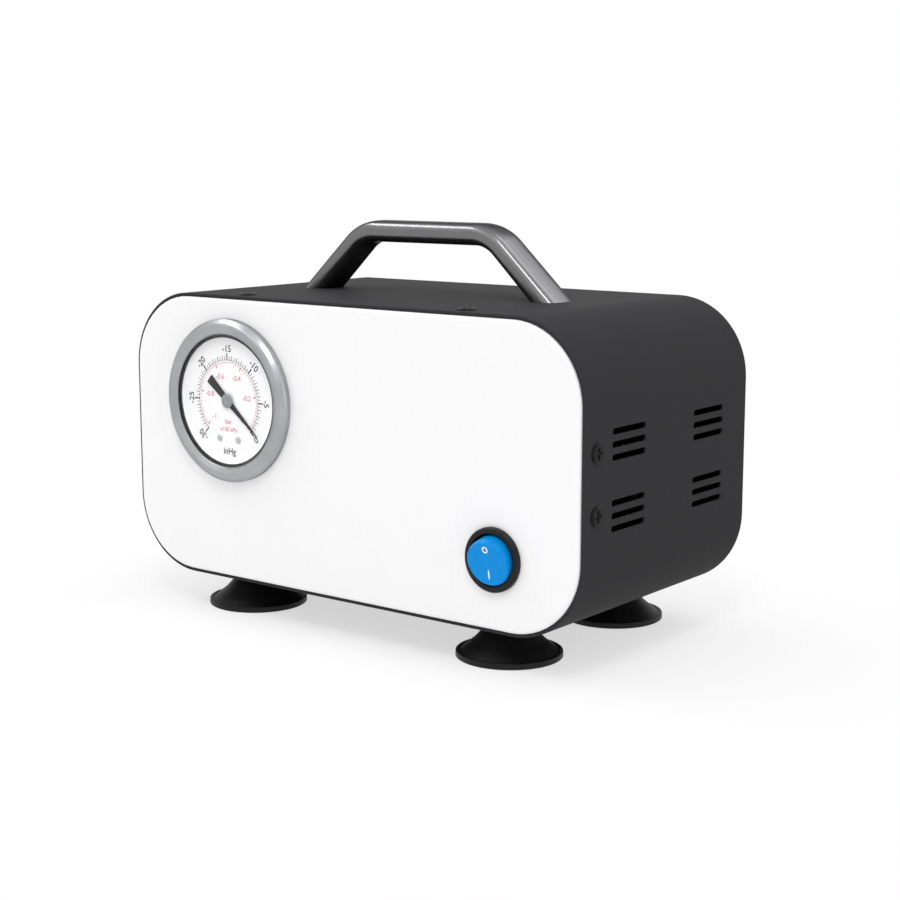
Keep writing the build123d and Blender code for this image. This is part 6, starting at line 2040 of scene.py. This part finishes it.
# Softboxes for the body, and narrow ones where the handle's edges and its leg mirror them
LAMPS = (
    Lamp("key_softbox", (-0.7, -1.5, 1.3), (1.2, 1.2), 2.3),
    Lamp("side_softbox", (1.5, -0.3, 0.35), (0.9, 0.6), 1.6),
    Lamp("overhead_strip", (-0.85, -0.25, 1.15), (1.0, 0.15), 5.0),
    Lamp("front_strip", (0.42, -0.68, 1.18), (0.24, 0.5), 4.0),
    Lamp("crown_softbox", (0.45, 0.6, 1.4), (0.45, 0.9), 2.6),
    Lamp("back_softbox", (0.25, 1.5, 1.35), (0.6, 0.6), 2.2),
)


@dataclass
class Studio:
    """Pale floor, soft lamps and the photograph's camera.

    The floor keeps its own paint, and so its shadow, out to the first of its fade's two distances
    in metres. The eye sees plain white mixed in by the floor's share there, and only white beyond
    the second.
    """

    floor: str = "#f6f6f6"
    floor_share: float = 0.62
    floor_fade: tuple[float, float] = (0.07, 0.28)
    floor_rings: tuple[float, ...] = (0, 200, 500, 1000, 2500, 9000)
    ambient: float = 0.68
    aim: tuple[float, float, float] = (0.0, 0.0, 0.07)
    camera_place: tuple[float, float, float] = (417.0, -530.9, 178.2)
    camera_yaw: float = 37.96
    camera_pitch: float = 9.70
    camera_lens: float = 69.3
    camera_sensor: float = 36.0

    def build(self) -> None:
        """Sets the world, the floor, the lamps and the camera."""
        scene = bpy.context.scene
        scene.view_settings.view_transform = "Standard"
        self._world(scene)
        self._floor()
        for lamp in LAMPS:
            self._hang(lamp)
        camera = bpy.data.objects.new("photo_camera", bpy.data.cameras.new("photo_camera"))
        camera.data.lens = self.camera_lens
        camera.data.sensor_width = self.camera_sensor
        camera.location = [v * MM for v in self.camera_place]
        turn = (math.radians(90 - self.camera_pitch), 0, math.radians(self.camera_yaw))
        camera.rotation_euler = turn
        scene.collection.objects.link(camera)
        scene.camera = camera

    def _sum_up(
        self,
        tree: bpy.types.NodeTree,
        operation: str,
        first: bpy.types.NodeSocket,
        second: bpy.types.NodeSocket,
    ) -> bpy.types.NodeSocket:
        """Makes one value of two.

        Args:
            tree: The node tree.
            operation: Blender's name of the operation.
            first: One value.
            second: The other value.

        Returns:
            The output that carries the result.
        """
        settings = {"operation": operation}
        return add_node(tree, "Math", settings, {0: first, 1: second}).outputs[0]

    def _world(self, scene: bpy.types.Scene) -> None:
        """Lights the room evenly, behind a white backdrop that eye, metal and glass see.

        Args:
            scene: The scene that takes the world.
        """
        world = bpy.data.worlds.new("studio_room")
        scene.world = world
        world.use_nodes = True
        tree = world.node_tree
        tree.nodes.clear()
        rays = add_node(tree, "LightPath", {}, {}).outputs
        seen = self._sum_up(tree, "MAXIMUM", rays["Is Camera Ray"], rays["Is Glossy Ray"])
        seen = self._sum_up(tree, "MAXIMUM", seen, rays["Is Transmission Ray"])
        room, backdrop = (
            add_node(tree, "Background", {"Color": WHITE, "Strength": strength}, {}).outputs[0]
            for strength in (self.ambient, 1.0)
        )
        both = add_node(tree, "MixShader", {}, {0: seen, 1: room, 2: backdrop})
        add_node(tree, "OutputWorld", {}, {"Surface": both.outputs[0]})

    def _floor(self) -> None:
        """Lays a round floor that keeps a soft shadow near the pump and fades to white."""
        draft = MeshDraft()
        rings = np.array([(radius, 0) for radius in self.floor_rings], float)
        draft.turned(Stand((0, 0, 0), up=(0, 1, 0), out=(0, 0, 1)), rings, steps=64)
        mesh = draft.mesh("studio_floor")
        floor = bpy.data.objects.new("studio_floor", mesh)
        bpy.context.scene.collection.objects.link(floor)
        mesh.materials.append(named_material("painted_studio_floor", self._floor_surface))

    def _floor_surface(self, tree: bpy.types.NodeTree) -> bpy.types.NodeSocket:
        """Wires the floor: paint, with white mixed in for the eye, and all white to metal.

        Args:
            tree: The material's node tree.

        Returns:
            The surface.
        """
        place = add_node(tree, "TexCoord", {}, {}).outputs["Object"]
        reach = add_node(tree, "VectorMath", {"operation": "LENGTH"}, {0: place})
        limits = {
            "interpolation_type": "SMOOTHSTEP",
            "From Min": self.floor_fade[0],
            "From Max": self.floor_fade[1],
            "To Min": self.floor_share,
        }
        fade = add_node(tree, "MapRange", limits, {"Value": reach.outputs["Value"]}).outputs[0]
        rays = add_node(tree, "LightPath", {}, {}).outputs
        by_eye = self._sum_up(tree, "MULTIPLY", fade, rays["Is Camera Ray"])
        mirrored = (rays["Is Glossy Ray"], rays["Is Transmission Ray"])
        share = self._sum_up(tree, "MAXIMUM", by_eye, self._sum_up(tree, "MAXIMUM", *mirrored))
        matt = {"Base Color": linear(self.floor), "Roughness": 0.9, "Specular IOR Level": 0.1}
        paint = add_node(tree, "BsdfPrincipled", matt, {}).outputs[0]
        white = add_node(tree, "Emission", {"Color": WHITE, "Strength": 1.0}, {}).outputs[0]
        return add_node(tree, "MixShader", {}, {0: share, 1: paint, 2: white}).outputs[0]

    def _hang(self, lamp: Lamp) -> None:
        """Adds one softbox that faces the pump.

        Args:
            lamp: What it is like.
        """
        data = bpy.data.lights.new(lamp.name, "AREA")
        data.shape = "RECTANGLE"
        data.size, data.size_y = lamp.size
        data.energy = lamp.power
        made = bpy.data.objects.new(lamp.name, data)
        made.location = lamp.place
        facing = Vector(self.aim) - Vector(lamp.place)
        made.rotation_euler = facing.to_track_quat("-Z", "Y").to_euler()
        bpy.context.scene.collection.objects.link(made)


# Nodes that keep the drawing's shape: their finish, and how wide their edges are softened
INNER_NODES: dict[str, Dressing] = {
    # The back panel's inside takes painted shade, a dark coat standing in for the shade inside the
    # case
    "rear_panel": Dressing(WHITE_ABS, 0.25, inside=PAINTED_SHADE_LINING),
    "base_plate": Dressing(GALVANISED_SHEET, 0.15),
    "studs": Dressing(ZINC_PLATE, turned=2),
    "nuts": Dressing(ZINC_PLATE, 0.2),
    "large_screws": Dressing(ZINC_PLATE, 0.2),
    "gauge_case": Dressing(BLACK_NYLON, turned=1),
    "gauge_arbor": Dressing(BRASS, turned=1),
    "gauge_sector": Dressing(BRASS, 0.05),
    "gauge_movement": Dressing(BRASS, 0.08),
    "gauge_socket": Dressing(BRASS, 0.15),
    "bourdon_tube": Dressing(BRASS, 0.2),
    "switch_terminals": Dressing(BRASS, 0.08),
    "inlet_socket": Dressing(BLACK_NYLON, 0.35),
    "inlet_pins": Dressing(NICKEL_PLATE, 0.3),
    "fuse_drawer": Dressing(BLACK_NYLON, 0.25),
    "fuse": Dressing(GLAZED_CERAMIC, turned=0),
    "exhaust_nut": Dressing(NICKEL_PLATE, 0.3),
    "manifold": Dressing(BLACK_ACETAL, 0.25),
    "isolators": Dressing(FOOT_RUBBER, turned=2),
    "pump_bracket": Dressing(GALVANISED_SHEET, 0.2),
    "crankcase": Dressing(CAST_ALUMINIUM, 0.3),
    "crank_cover": Dressing(CAST_ALUMINIUM, 0.2),
    "motor_can": Dressing(MOTOR_ENAMEL, turned=0),
    "motor_magnets": Dressing(FERRITE, 0.3),
    "motor_caps": Dressing(CAST_ALUMINIUM, 0.2),
    "bearing_outer_rings": Dressing(BEARING_STEEL, turned=0),
    "bearing_inner_rings": Dressing(BEARING_STEEL, turned=0),
    "motor_shaft": Dressing(BEARING_STEEL, turned=0),
    "motor_rotor": Dressing(LAMINATIONS, turned=0),
    "motor_fan": Dressing(BLACK_NYLON, 0.1),
    "eccentric": Dressing(ZINC_PLATE, 0.2),
    "rod_bearing_ring": Dressing(BEARING_STEEL, turned=0),
    "connecting_rod": Dressing(CAST_ALUMINIUM, 0.2),
    "diaphragm": Dressing(DIAPHRAGM_RUBBER),
    "clamp_disc": Dressing(CAST_ALUMINIUM, turned=2),
    "valve_plate": Dressing(CAST_ALUMINIUM, 0.2),
    "umbrella_valves": Dressing(SHEET_RUBBER, turned=2),
    "head_gasket": Dressing(SHEET_RUBBER),
    "head_cover": Dressing(CAST_ALUMINIUM, 0.3),
    "head_bolts": Dressing(ZINC_PLATE, turned=2),
    "board_standoffs": Dressing(ZINC_PLATE, 0.1),
    "power_board": Dressing(SOLDER_MASK),
    "board_components": Dressing(COMPONENT_SHELL, 0.25),
}


def main() -> None:
    """Builds every piece around the frame, then the studio."""
    logging.basicConfig(level=logging.INFO, format="%(name)s %(message)s")
    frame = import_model()
    bench = Bench(frame)
    joints = {joint["name"]: joint for joint in bench.joints}
    gauge_at = tuple(joints["pointer_turn"]["pos_m"][k] / MM for k in (0, 2))
    switch_at = tuple(joints["rocker_tilt"]["pos_m"][k] / MM for k in (0, 2))
    SleeveCase().build(bench)
    FrontCap().build(bench, gauge_at, switch_at)
    BowHandle().build(bench)
    SuctionFeet().build(bench)
    VacuumGauge().build(bench)
    RockerSwitch().build(bench)
    HosePorts().build(bench)
    HeadedScrews("panel_screws", "panel_screw_heads", BLACK_OXIDE, head_share=0.32).build(bench)
    HeadedScrews("small_screws", "small_cross_screws", ZINC_PLATE).build(bench)
    HoseSet().build(bench)
    for node, dressing in INNER_NODES.items():
        bench.dress_node(node, dressing)
    for node in bench.left_over():
        LOG.warning("no piece stands for %s", node)
    Studio().build()


if __name__ == "__main__":
    main()
